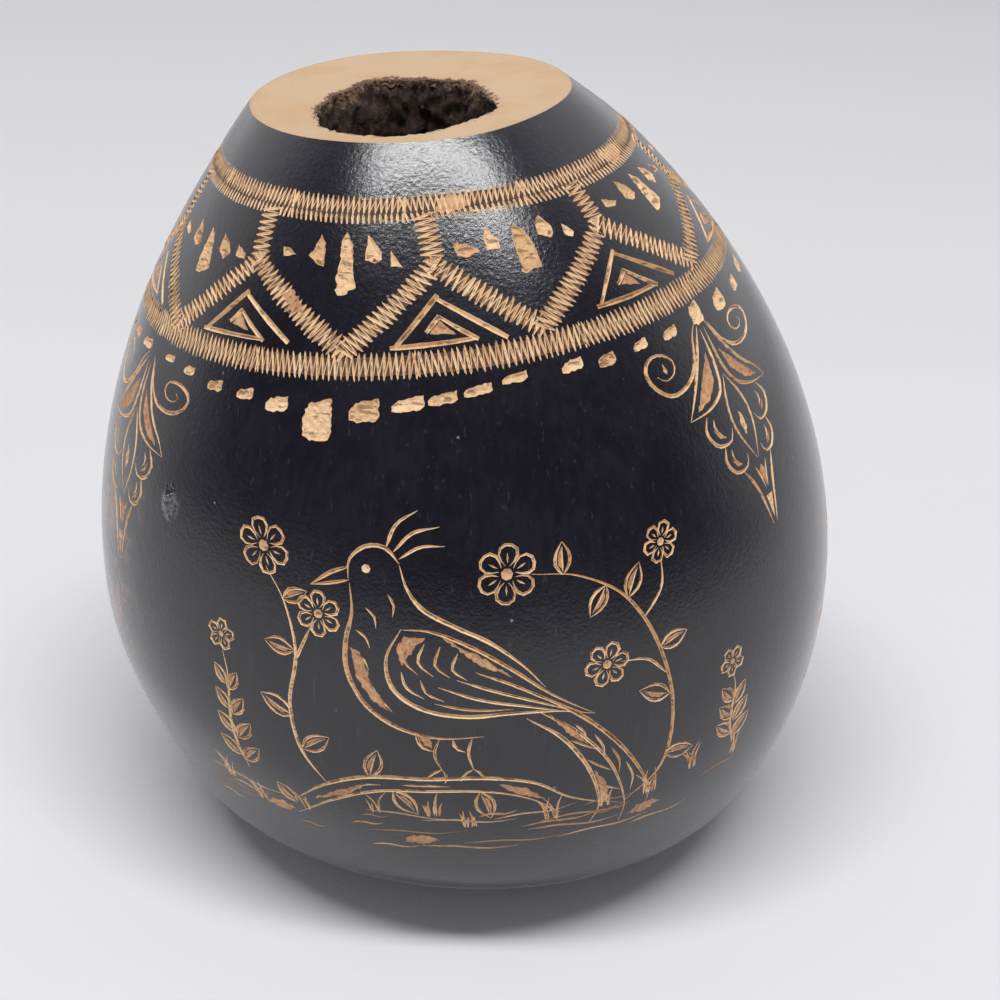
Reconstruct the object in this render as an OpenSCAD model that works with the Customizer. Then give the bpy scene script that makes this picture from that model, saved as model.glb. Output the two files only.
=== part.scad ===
// Carved gourd: the dried body of a bottle gourd, sawn level across the neck, dyed black and hollowed.
// It is one natural shell, built as the three layers that differ on the bench: the thin dyed skin,
// the pale woody wall under it, and the dark crumbly pith that still lines the hollow.
// Millimetres, +Z up. The gourd's stem axis leans to -X and the front faces -Y.
// The origin lies on the table, under the middle of the body's outline.

/* [Body] */
// Radius of the widest ring
belly_r = 57.5; // [52:0.5:64]
// Height of the widest ring's centre above the table
belly_h = 43.8; // [42.5:0.1:46]
// Lean of the stem axis to the left, in degrees
lean = 8.4; // [4:0.1:10]

/* [Shoulder] */
// Handle of the side curve above the widest ring: longer is fuller
shoulder_pull = 30.1; // [26:0.1:34]
// Handle of the side curve at the neck: longer is fuller
neck_pull = 31.7; // [28:0.1:35]
// Height above the widest ring at which the neck curve would end
neck_h = 81.2; // [80:0.1:85]
// Radius at which the neck curve would end
neck_r = 13.5; // [11:0.1:16]
// Slope of the neck curve at its end, in degrees from level
neck_slope = 38; // [34:0.5:42]

/* [Underside] */
// Handle of the side curve below the widest ring: longer is fuller
flank_pull = 32.7; // [29:0.1:36]
// Depth below the widest ring at which the flank curve ends, hidden behind the heel
flank_h = 51; // [48:0.1:54]
// Radius at which the flank curve ends
flank_r = 36; // [34:0.1:38]
// Slope of the flank curve at its end, in degrees from level
flank_slope = 46; // [42:0.5:50]
// Radius of the heel's rounding, between the flank and the underside
heel_r = 12; // [10:0.1:14]
// Distance of the heel's centre inside the widest radius
heel_in = 16.9; // [16:0.1:18]
// Height of the heel's centre above the table
heel_h = 19.7; // [19:0.1:21]
// Sideways offset of the underside from the middle of the widest ring
heel_x = 2.3; // [1.5:0.1:3.5]
// Radius of the flat foot, worn through the skin, that the gourd stands on
foot_r = 19.5; // [15:0.5:24]

/* [Mouth] */
// Height of the sawn face above the widest ring, along the stem axis
mouth_h = 72.7; // [70:0.1:75]
// Tilt of the sawn face, up to the left, in degrees
mouth_tilt_left = 1.9; // [0:0.1:4]
// Tilt of the sawn face, up to the back, in degrees
mouth_tilt_back = 1.7; // [0:0.1:4]
// Radius of the clear hole through the neck
hole_r = 13.3; // [11:0.1:14]
// Offset of the hole to the front of the stem axis
hole_front = 4.6; // [3:0.1:5]
// Offset of the hole to the left of the stem axis
hole_left = 0.9; // [0:0.1:2]

/* [Layers] */
// Thickness of the dyed skin
skin_t = 0.3; // [0.2:0.05:0.5]
// Thickness of the shell, skin and wall together
shell_t = 6; // [4.5:0.1:6.5]
// Thickness of the neck's roof under the sawn face
neck_t = 8; // [6.5:0.1:9]
// Thickness of the pith lining
pith_t = 1.2; // [0.8:0.1:1.6]
// Depth by which the crumbled pith ends under the sawn face
pith_drop = 0.4; // [0.2:0.1:1]

/* [Hidden] */

// Slope of the underside where it meets the foot, in degrees
foot_slope = 6;
// Angle below level at which the heel's rounding starts and ends
heel_start = 24;
heel_end = 50.5;
// Handles of the underside's curve, at the heel and at the foot
under_heel_pull = 10.4;
under_foot_pull = 11.5;
// Handle of the flank curve at its hidden end, and how far the form runs on below that
flank_end_pull = 1.7;
flank_run = 18;
// Straight pieces in a curve and in the heel's rounding
CURVE_STEPS = 22;
HEEL_STEPS = 5;
// Segments round the body
BODY_FN = 160;
// A length that clears the whole gourd
CLEAR = 120;

// Side curves as [radius, height] from the widest ring, each listed from low to high
side_low = [
    [flank_r, -flank_h],
    [flank_r + flank_end_pull * cos(flank_slope), -flank_h + flank_end_pull * sin(flank_slope)],
    [belly_r, -flank_pull],
    [belly_r, 0]
];
side_high = [
    [belly_r, 0],
    [belly_r, shoulder_pull],
    [neck_r + neck_pull * cos(neck_slope), neck_h - neck_pull * sin(neck_slope)],
    [neck_r, neck_h]
];

// Underside curve as [radius, height above the table], from the foot out to the heel
heel_centre = [belly_r - heel_in, heel_h];
heel_low = heel_centre + heel_r * [cos(heel_end), -sin(heel_end)];
underside = [
    [foot_r, 0],
    [foot_r + under_foot_pull * cos(foot_slope), under_foot_pull * sin(foot_slope)],
    heel_low - under_heel_pull * [sin(heel_end), cos(heel_end)],
    heel_low
];

// Point and direction of a cubic curve
function curve_at(c, t) =
    pow(1 - t, 3) * c[0] + 3 * pow(1 - t, 2) * t * c[1] + 3 * (1 - t) * t * t * c[2] + pow(t, 3) * c[3];
function curve_dir(c, t) =
    let (d = pow(1 - t, 2) * (c[1] - c[0]) + 2 * (1 - t) * t * (c[2] - c[1]) + t * t * (c[3] - c[2]))
    d / norm(d);

// A curve drawn in by inset, square to itself
function inset_curve(c, inset) = [
    for (i = [0:CURVE_STEPS])
        let (t = i / CURVE_STEPS, d = curve_dir(c, t))
        curve_at(c, t) - inset * [d[1], -d[0]]
];

// All of the points but the first
function rest_of(points) = [for (i = [1:len(points) - 1]) points[i]];

// Half outline of the leaning body, drawn in by inset, round the stem axis
function body_outline(inset) =
    let (
        low = inset_curve(side_low, inset),
        high = inset_curve(side_high, inset),
        tail = low[0] - flank_run * [1, tan(flank_slope)],
        top = high[CURVE_STEPS]
    )
    concat([[0, tail[1]], tail], low, rest_of(high), [[0, top[1]]]);

// Half outline of the underside, drawn in by inset, round an upright axis
function bowl_outline(inset) =
    let (
        under = inset_curve(underside, inset),
        heel = [
            for (i = [0:HEEL_STEPS])
                let (a = heel_end + (heel_start - heel_end) * i / HEEL_STEPS)
                heel_centre + (heel_r - inset) * [cos(a), -sin(a)]
        ],
        brim = heel[HEEL_STEPS] + CLEAR * [tan(heel_start), 1]
    )
    concat(under, rest_of(heel), [brim, [0, brim[1]]]);

// Half width of the leaning body to one side, which sets the origin's place under its outline
function reach(side) =
    let (points = concat(inset_curve(side_low, 0), inset_curve(side_high, 0)))
    max([for (p = points) p[0] * cos(lean) - side * p[1] * sin(lean)]);
centre_x = (reach(1) - reach(-1)) / 2;

// The upright frame of the underside, and the leaning frame of the stem axis
module upright() {
    translate([heel_x - centre_x, 0, 0]) children();
}
module on_stem() {
    translate([-centre_x, 0, belly_h]) rotate([0, -lean, 0]) children();
}

// Everything below the sawn face, sunk by drop
module below_mouth(drop) {
    on_stem()
        translate([0, 0, mouth_h - drop])
            rotate([mouth_tilt_back, mouth_tilt_left, 0])
                translate([0, 0, -CLEAR])
                    cube([2 * CLEAR, 2 * CLEAR, 2 * CLEAR], center = true);
}

// The gourd's form drawn in by inset, with its underside closed at floor_z
module gourd_form(inset, floor_z) {
    intersection() {
        on_stem()
            rotate_extrude($fn = BODY_FN)
                polygon(body_outline(inset));
        upright()
            rotate_extrude($fn = BODY_FN)
                polygon(concat([[0, floor_z], [foot_r, floor_z]], bowl_outline(inset)));
    }
}

// The hole through the neck
module neck_hole(radius) {
    on_stem()
        translate([-hole_left, -hole_front, mouth_h - 2 * neck_t])
            cylinder(r = radius, h = 3 * neck_t, $fn = 96);
}

// The hollow inside the wall, or inside the pith when grown is the pith's thickness
module hollow(grown) {
    union() {
        intersection() {
            gourd_form(shell_t + grown, shell_t + grown);
            below_mouth(neck_t + grown);
        }
        neck_hole(hole_r + pith_t - grown);
    }
}

// Thin black skin over the whole outside, open at the sawn face and at the foot
module dyed_skin() {
    color("#1c1a21")
        difference() {
            intersection() {
                gourd_form(0, 0);
                below_mouth(0);
            }
            gourd_form(skin_t, 0);
        }
}

// Pale woody wall, from the sawn face down to the flat foot
module gourd_wall() {
    color("#c99a5e")
        difference() {
            intersection() {
                gourd_form(skin_t, 0);
                below_mouth(0);
            }
            hollow(0);
        }
}

// Dark crumbly pith on the inside of the wall and through the neck
module pith_lining() {
    color("#4a2f1d")
        difference() {
            intersection() {
                hollow(0);
                below_mouth(pith_drop);
            }
            hollow(pith_t);
        }
}

dyed_skin();
gourd_wall();
pith_lining();
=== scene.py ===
"""A carved gourd, dyed black, sawn level across the neck and cut with a gouge down to the pale rind.

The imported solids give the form. This script carves the skin, roughens the pith, dresses every
surface and sets up the studio. Lengths are in millimetres until a mesh is made.
"""

import logging
import math
import random
from dataclasses import dataclass, field
from enum import Enum
from typing import Callable, Iterable, Sequence

import bpy
import numpy as np
from mathutils import Matrix, Vector, noise
from mathutils.geometry import delaunay_2d_cdt

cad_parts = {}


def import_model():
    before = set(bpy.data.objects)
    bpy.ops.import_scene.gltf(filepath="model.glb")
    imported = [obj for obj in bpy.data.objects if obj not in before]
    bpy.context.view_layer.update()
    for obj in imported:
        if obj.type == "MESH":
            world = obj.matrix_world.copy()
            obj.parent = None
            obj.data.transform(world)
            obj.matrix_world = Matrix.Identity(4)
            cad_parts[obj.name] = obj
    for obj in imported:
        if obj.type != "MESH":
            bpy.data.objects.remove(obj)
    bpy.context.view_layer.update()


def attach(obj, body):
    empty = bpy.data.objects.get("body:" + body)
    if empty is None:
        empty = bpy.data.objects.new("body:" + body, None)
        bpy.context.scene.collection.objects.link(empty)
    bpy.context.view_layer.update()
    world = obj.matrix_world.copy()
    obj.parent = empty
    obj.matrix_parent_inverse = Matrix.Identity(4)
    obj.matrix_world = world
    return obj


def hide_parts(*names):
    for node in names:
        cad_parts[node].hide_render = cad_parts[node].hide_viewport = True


MM = 0.001
LOG = logging.getLogger("carved_gourd")
Points = Sequence[tuple[float, float]]
Spot = tuple[float, float, float]
Colour = tuple[float, float, float]


def cubic(handles: Points, steps: int) -> np.ndarray:
    """Points along a cubic curve.

    Args:
        handles: Its four handles.
        steps: How many points to give.

    Returns:
        An array of steps rows.
    """
    t = np.linspace(0, 1, steps)[:, None]
    c = np.array(handles, float)
    return (1 - t) ** 3 * c[0] + 3 * (1 - t) ** 2 * t * c[1] + 3 * (1 - t) * t * t * c[2] + t**3 * c[3]


def smooth_path(points: Points, step: float) -> np.ndarray:
    """A smooth curve through points, in even steps.

    Args:
        points: Where the curve passes.
        step: Distance between the points that come back.

    Returns:
        An array with one row for each point.
    """
    p = np.array(points, float)
    if len(p) > 2:
        ends = np.vstack([2 * p[0] - p[1], p, 2 * p[-1] - p[-2]])
        t = np.linspace(0, 1, 9)[:-1, None]
        runs = []
        for a, b, c, d in zip(ends, ends[1:], ends[2:], ends[3:]):
            square, cube = 2 * a - 5 * b + 4 * c - d, 3 * b - a - 3 * c + d
            runs.append(0.5 * (2 * b + (c - a) * t + square * t**2 + cube * t**3))
        p = np.vstack(runs + [p[-1:]])
    run = np.concatenate([[0], np.cumsum(np.hypot(*np.diff(p, axis=0).T))])
    count = max(3, int(round(run[-1] / step)) + 1)
    even = np.linspace(0, run[-1], count)
    return np.stack([np.interp(even, run, p[:, 0]), np.interp(even, run, p[:, 1])], -1)


def square_to(path: np.ndarray) -> np.ndarray:
    """Directions square to a path.

    Args:
        path: Rows of x and y.

    Returns:
        A unit vector to the left at each of its points.
    """
    ahead = np.gradient(path, axis=0)
    ahead /= np.maximum(np.linalg.norm(ahead, axis=1), 1e-9)[:, None]
    return np.stack([-ahead[:, 1], ahead[:, 0]], -1)


def close_in(
    low: np.ndarray, high: np.ndarray, times: int, too_far: Callable[[np.ndarray], np.ndarray]
) -> tuple[np.ndarray, np.ndarray]:
    """Halve the gaps between pairs of numbers, round the place where a test starts to hold.

    Args:
        low: Numbers at which it doesn't hold.
        high: Numbers at which it does.
        times: How often the gaps are halved.
        too_far: The test.

    Returns:
        The low and the high numbers, now close together.
    """
    for _ in range(times):
        middle = (low + high) / 2
        over = too_far(middle)
        high = np.where(over, middle, high)
        low = np.where(over, low, middle)
    return low, high


def even_grid(low: Sequence[float], high: Sequence[float], step: Sequence[float]) -> np.ndarray:
    """Rows of x and y between two corners, in even steps."""
    across, up = (np.arange(a, b, gap) for a, b, gap in zip(low, high, step))
    return np.stack(np.meshgrid(across, up), -1).reshape(-1, 2)


def divide(flat: np.ndarray, edges: list[tuple[int, int]]) -> tuple[np.ndarray, np.ndarray]:
    """Divide flat points into triangles.

    Args:
        flat: Rows of x and y.
        edges: Pairs of point numbers that stay joined.

    Returns:
        The points, with more where edges cross, and the triangles as rows of point numbers.
    """
    spots = [Vector(p) for p in flat.tolist()]
    made, _, faces, _, _, _ = delaunay_2d_cdt(spots, edges, [], 0, 1e-6, False)
    return np.array([(p.x, p.y) for p in made]), np.array([f for f in faces if len(f) == 3], int)


def joined_rings(start: int, rings: int, count: int, turned: bool = False) -> list[np.ndarray]:
    """Triangles between rings of points that follow one another.

    Args:
        start: Number of the first ring's first point.
        rings: How many gaps between rings are closed.
        count: How many points a ring has.
        turned: Whether the triangles face the other way.

    Returns:
        Rows of point numbers for each gap.
    """
    faces = []
    for ring in range(rings):
        a = start + ring * count + np.arange(count)
        b = start + ring * count + (np.arange(count) + 1) % count
        pair = np.vstack([np.stack([a, b, b + count], -1), np.stack([a, b + count, a + count], -1)])
        faces.append(pair[:, ::-1] if turned else pair)
    return faces


def dot(x: float, y: float, radius: float, corners: int = 7) -> Points:
    """Corners of a small round dot."""
    turns = [math.tau * k / corners for k in range(corners)]
    return [(x + radius * math.cos(turn), y + radius * math.sin(turn)) for turn in turns]


@dataclass
class GourdForm:
    """The dried body's form, with the same sizes as the solids.

    The swelling is given as angles from the front and how far the neck stands out there.
    """

    belly_r: float = 57.5
    belly_h: float = 43.8
    lean: float = math.radians(8.4)
    shoulder_pull: float = 30.1
    neck_pull: float = 31.7
    neck_h: float = 81.2
    neck_r: float = 13.5
    neck_slope: float = math.radians(38)
    flank_pull: float = 32.7
    flank_h: float = 51.0
    flank_r: float = 36.0
    flank_slope: float = math.radians(46)
    flank_end_pull: float = 1.7
    flank_run: float = 18.0
    heel_r: float = 12.0
    heel_in: float = 16.9
    heel_h: float = 19.7
    heel_x: float = 2.3
    heel_start: float = math.radians(24)
    heel_end: float = math.radians(50.5)
    foot_r: float = 19.5
    foot_slope: float = math.radians(6)
    under_foot_pull: float = 11.5
    under_heel_pull: float = 10.4
    mouth_h: float = 72.7
    mouth_tilt_left: float = math.radians(1.9)
    mouth_tilt_back: float = math.radians(1.7)
    crease_blend: float = 2.6
    soft_swell: float = 0.3
    swell_start: float = 68
    swell_run: float = 16
    neck_swell: Points = (
        (-180, -0.9), (-165, 0.5), (-147, 1.8), (-134, 1.9), (-110, 1.3), (-83, 0.1), (-60, -0.5),
        (-27, -0.4), (-13, 0), (7, 1.1), (25, 2), (40, 1), (57, 0.4), (76, 0.1), (97, -1.1),
        (119, -1.6), (141, -2.2), (165, -2.1), (180, -0.9),
    )

    def __post_init__(self) -> None:
        """Work out the side curve, the underside's curve and the saw plane."""
        down = np.array([math.cos(self.flank_slope), math.sin(self.flank_slope)])
        end = np.array([self.flank_r, -self.flank_h])
        widest = np.array([self.belly_r, 0.0])
        low = cubic([end, end + self.flank_end_pull * down, (self.belly_r, -self.flank_pull), widest], 300)
        neck = np.array([self.neck_r, self.neck_h])
        pull = self.neck_pull * np.array([math.cos(self.neck_slope), -math.sin(self.neck_slope)])
        high = cubic([widest, (self.belly_r, self.shoulder_pull), neck + pull, neck], 400)
        tail = end - self.flank_run * np.array([1, math.tan(self.flank_slope)])
        rest = np.vstack([np.linspace((0, tail[1]), tail, 30)[:-1], np.linspace(tail, end, 30)[:-1]])
        side = np.vstack([rest, low, high[1:]])
        run = np.concatenate([[0], np.cumsum(np.hypot(*np.diff(side, axis=0).T))])
        self.side_u = run - run[len(rest) + len(low) - 1]
        self.side_r = side[:, 0]
        self.side_z = side[:, 1]
        self.side_phi = np.arctan2(side[:, 0], side[:, 1])
        self.side_rho = np.hypot(side[:, 0], side[:, 1])
        across, up = np.vstack([low, high]).T
        wide = [np.max(across * math.cos(self.lean) - s * up * math.sin(self.lean)) for s in (1, -1)]
        self.centre_x = (wide[0] - wide[1]) / 2
        heel = np.array([self.belly_r - self.heel_in, self.heel_h])
        heel_low = heel + self.heel_r * np.array([math.cos(self.heel_end), -math.sin(self.heel_end)])
        foot = np.array([self.foot_r, 0.0])
        from_foot = self.under_foot_pull * np.array([math.cos(self.foot_slope), math.sin(self.foot_slope)])
        to_heel = self.under_heel_pull * np.array([math.sin(self.heel_end), math.cos(self.heel_end)])
        under = cubic([foot, foot + from_foot, heel_low - to_heel, heel_low], 80)
        turn = np.linspace(self.heel_end, self.heel_start, 40)[1:, None]
        arc = heel + self.heel_r * np.hstack([np.cos(turn), -np.sin(turn)])
        brim = arc[-1] + 120 * np.array([math.tan(self.heel_start), 1])
        self.bowl = np.vstack([[[-1.0, -0.001]], under, arc, brim])
        a, b = self.mouth_tilt_back, self.mouth_tilt_left
        self.saw_normal = np.array([math.cos(a) * math.sin(b), -math.sin(a), math.cos(a) * math.cos(b)])

    def row(self, stem_points: np.ndarray) -> np.ndarray:
        """Take points from the leaning stem's frame to the part's frame.

        Args:
            stem_points: Places in millimetres, with z along the stem's axis.

        Returns:
            The same places, as the solids have them.
        """
        c, s = math.cos(self.lean), math.sin(self.lean)
        x, y, z = stem_points[..., 0], stem_points[..., 1], stem_points[..., 2]
        return np.stack([x * c - z * s - self.centre_x, y, x * s + z * c + self.belly_h], -1)

    def to_bowl(self, toward: np.ndarray) -> np.ndarray:
        """Distance from the belly's centre to the underside.

        Args:
            toward: Unit directions in the stem's frame.

        Returns:
            One distance for each direction.
        """
        centre = self.row(np.zeros(3))
        rays = self.row(toward) - centre

        def outside(reach: np.ndarray) -> np.ndarray:
            """Find the rays that end outside the underside.

            Args:
                reach: Their lengths.

            Returns:
                True or false for each.
            """
            p = centre + rays * reach[:, None]
            across = np.hypot(p[:, 0] - (self.heel_x - self.centre_x), p[:, 1])
            return across > np.interp(p[:, 2], self.bowl[:, 1], self.bowl[:, 0])

        return close_in(np.full(len(rays), 15.0), np.full(len(rays), 110.0), 30, outside)[0]

    def radius(self, u: np.ndarray) -> np.ndarray:
        """Distance from the stem's axis at a length u up the side from the widest ring."""
        return np.interp(u, self.side_u, self.side_r)

    def swell(self, az: np.ndarray, u: np.ndarray) -> np.ndarray:
        """The neck's uneven growth, which fades down the shoulder.

        Args:
            az: Angles round the stem, in radians.
            u: Lengths up the side.

        Returns:
            How far the skin stands out from a round one.
        """
        degrees, out = np.array(self.neck_swell).T
        turns = (np.degrees(az) + 180) % 360 - 180
        fade = np.clip((u - self.swell_start) / self.swell_run, 0, 1.2)
        spread = [np.interp((turns + off + 180) % 360 - 180, degrees, out) for off in (-8, 0, 8)]
        return sum(spread) / 3 * fade**2 * (3 - 2 * np.minimum(fade, 1))

    def u_at_height(self, height: np.ndarray) -> np.ndarray:
        """Length up the side at a height above the widest ring."""
        return np.interp(height, self.side_z[60:], self.side_u[60:])

    def skin(self, az: np.ndarray, u: np.ndarray, share: float = 1.0) -> np.ndarray:
        """Points of the outer skin.

        Args:
            az: Angles round the stem from the front, in radians, growing to the right.
            u: Lengths up the side from the widest ring.
            share: How much of the neck's swelling is taken in.

        Returns:
            One row for each point, in the part's frame.
        """
        phi = np.interp(u, self.side_u, self.side_phi)
        rho = np.interp(u, self.side_u, self.side_rho)
        toward = np.stack([np.sin(phi) * np.sin(az), -np.sin(phi) * np.cos(az), np.cos(phi)], -1)
        low = np.nonzero(u < 20)[0]
        if len(low):
            bowl = self.to_bowl(toward[low])
            near = np.maximum(self.crease_blend - np.abs(rho[low] - bowl), 0) / self.crease_blend
            rho[low] = np.minimum(rho[low], bowl) - near**2 * self.crease_blend / 4
        spots = toward * rho[:, None]
        out = self.swell(az, u) * share
        spots[:, 0] += out * np.sin(az)
        spots[:, 1] -= out * np.cos(az)
        return self.row(spots)

    def normals(self, az: np.ndarray, u: np.ndarray) -> np.ndarray:
        """Directions square to the outer skin, with the neck's swelling softened.

        Args:
            az: Angles round the stem, in radians.
            u: Lengths up the side.

        Returns:
            An outward unit vector for each place.
        """
        soft = self.soft_swell
        step = 0.35
        turn = step / np.maximum(self.radius(u), 2.0)
        across = self.skin(az + turn, u, soft) - self.skin(az - turn, u, soft)
        up = self.skin(az, u + step, soft) - self.skin(az, u - step, soft)
        n = np.cross(across, up)
        return n / np.linalg.norm(n, axis=1)[:, None]

    def rim_u(self, az: np.ndarray) -> np.ndarray:
        """Find where the saw plane cuts the skin.

        Args:
            az: Angles round the stem, in radians.

        Returns:
            Lengths up the side.
        """
        n = self.saw_normal

        def over(u: np.ndarray) -> np.ndarray:
            """Find the lengths that lie above the saw plane.

            Args:
                u: Lengths up the side.

            Returns:
                True or false for each.
            """
            r = self.radius(u) + self.swell(az, u)
            z = np.interp(u, self.side_u, self.side_z)
            return n[0] * r * np.sin(az) - n[1] * r * np.cos(az) + n[2] * (z - self.mouth_h) > 0

        return close_in(np.full(len(az), 60.0), np.full(len(az), self.side_u[-1]), 40, over)[0]

    def saw_plane(self, x: np.ndarray, y: np.ndarray, drop: float | np.ndarray = 0.0) -> np.ndarray:
        """Points on the saw plane, or under it.

        Args:
            x: Where they are in the stem's frame, to the right.
            y: Where they are in the stem's frame, to the back.
            drop: How far under the plane they lie.

        Returns:
            One row for each point, in the part's frame.
        """
        n = self.saw_normal
        z = self.mouth_h - (n[0] * x + n[1] * y) / n[2] - drop
        return self.row(np.stack([x, y, z], -1))


class Tone(Enum):
    """How a cut is coloured: how far it goes from pale rind to rubbed orange brown."""

    PALE = 0.0
    WARM = 0.4
    BROWN = 1.0
    STAINED = 2.0


@dataclass
class Cut:
    """One cut of the gouge, in angle round the stem and length up the side.

    Args:
        outline: Its edge, as rows of angle and length.
        spine: Its middle line, empty where the floor is flat.
        half: Half of its width along the spine.
        depth: How deep it goes.
        tone: Its colour.
    """

    outline: np.ndarray
    spine: np.ndarray
    half: np.ndarray
    depth: float
    tone: float


@dataclass
class Place:
    """A spot on the gourd with its own flat millimetre grid, x to the right and y up the side."""

    form: GourdForm
    az: float
    u: float
    turn: float = 0.0

    def lay(self, points: np.ndarray) -> np.ndarray:
        """Lay flat points on the gourd.

        Args:
            points: Rows of x and y on the flat grid.

        Returns:
            Rows of angle and length.
        """
        p = np.array(points, float)
        c, s = math.cos(self.turn), math.sin(self.turn)
        x, y = p[:, 0] * c - p[:, 1] * s, p[:, 0] * s + p[:, 1] * c
        u = self.u + y
        return np.stack([self.az + x / self.form.radius(u), u], -1)


class NodeTool:
    """A Geometry Nodes tree with named inputs, run on a mesh as a modifier."""

    KINDS = {"Seed": "Int", "Leaf": "Object", "Crumb": "Object", "Finish": "Material"}

    def __init__(self, name: str, start: str, inputs: Sequence[str]) -> None:
        """Start the tree and name its inputs.

        Args:
            name: The tree's name.
            start: What it works on.
            inputs: Its other inputs, numbers unless KINDS says otherwise.
        """
        self.tree = bpy.data.node_groups.new(name, "GeometryNodeTree")
        self.tree.is_modifier = True
        self.link = self.tree.links.new
        face = self.tree.interface
        face.new_socket(name=start, in_out="INPUT", socket_type="NodeSocketGeometry")
        self.sockets: dict[str, str] = {}
        for key in inputs:
            kind = "NodeSocket" + self.KINDS.get(key, "Float")
            self.sockets[key] = face.new_socket(name=key, in_out="INPUT", socket_type=kind).identifier
        face.new_socket(name="Made", in_out="OUTPUT", socket_type="NodeSocketGeometry")
        self.given = self.node("NodeGroupInput").outputs

    def node(self, kind: str, **settings: object) -> bpy.types.Node:
        """Add a node.

        Args:
            kind: Its type.
            settings: Its properties.

        Returns:
            The new node.
        """
        node = self.tree.nodes.new(kind)
        for name, value in settings.items():
            setattr(node, name, value)
        return node

    def repeat(
        self, at: bpy.types.NodeSocket, shape: str, turn: bpy.types.NodeSocket, size: bpy.types.NodeSocket
    ) -> None:
        """End the tree: an object on each point, made real and dressed.

        Args:
            at: The points.
            shape: The input that names the object.
            turn: How each is turned.
            size: How large each is.
        """
        link = self.link
        given = self.node("GeometryNodeObjectInfo")
        link(self.given[shape], given.inputs["Object"])
        put = self.node("GeometryNodeInstanceOnPoints")
        link(at, put.inputs["Points"])
        link(given.outputs["Geometry"], put.inputs["Instance"])
        link(turn, put.inputs["Rotation"])
        link(size, put.inputs["Scale"])
        real = self.node("GeometryNodeRealizeInstances")
        link(put.outputs[0], real.inputs[0])
        dressed = self.node("GeometryNodeSetMaterial")
        link(real.outputs[0], dressed.inputs["Geometry"])
        link(self.given["Finish"], dressed.inputs["Material"])
        link(dressed.outputs[0], self.node("NodeGroupOutput").inputs[0])

    def run(self, mesh: bpy.types.Mesh, values: dict[str, object]) -> bpy.types.Mesh:
        """Run the tree on a mesh.

        Args:
            mesh: The mesh.
            values: The inputs, by name.

        Returns:
            What it makes, as a plain mesh.
        """
        worked = bpy.data.objects.new("worked", mesh)
        bpy.context.scene.collection.objects.link(worked)
        tool = worked.modifiers.new(self.tree.name, "NODES")
        tool.node_group = self.tree
        for name, value in values.items():
            tool[self.sockets[name]] = value
        graph = bpy.context.evaluated_depsgraph_get()
        made = bpy.data.meshes.new_from_object(worked.evaluated_get(graph))
        bpy.data.objects.remove(worked)
        return made


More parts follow.
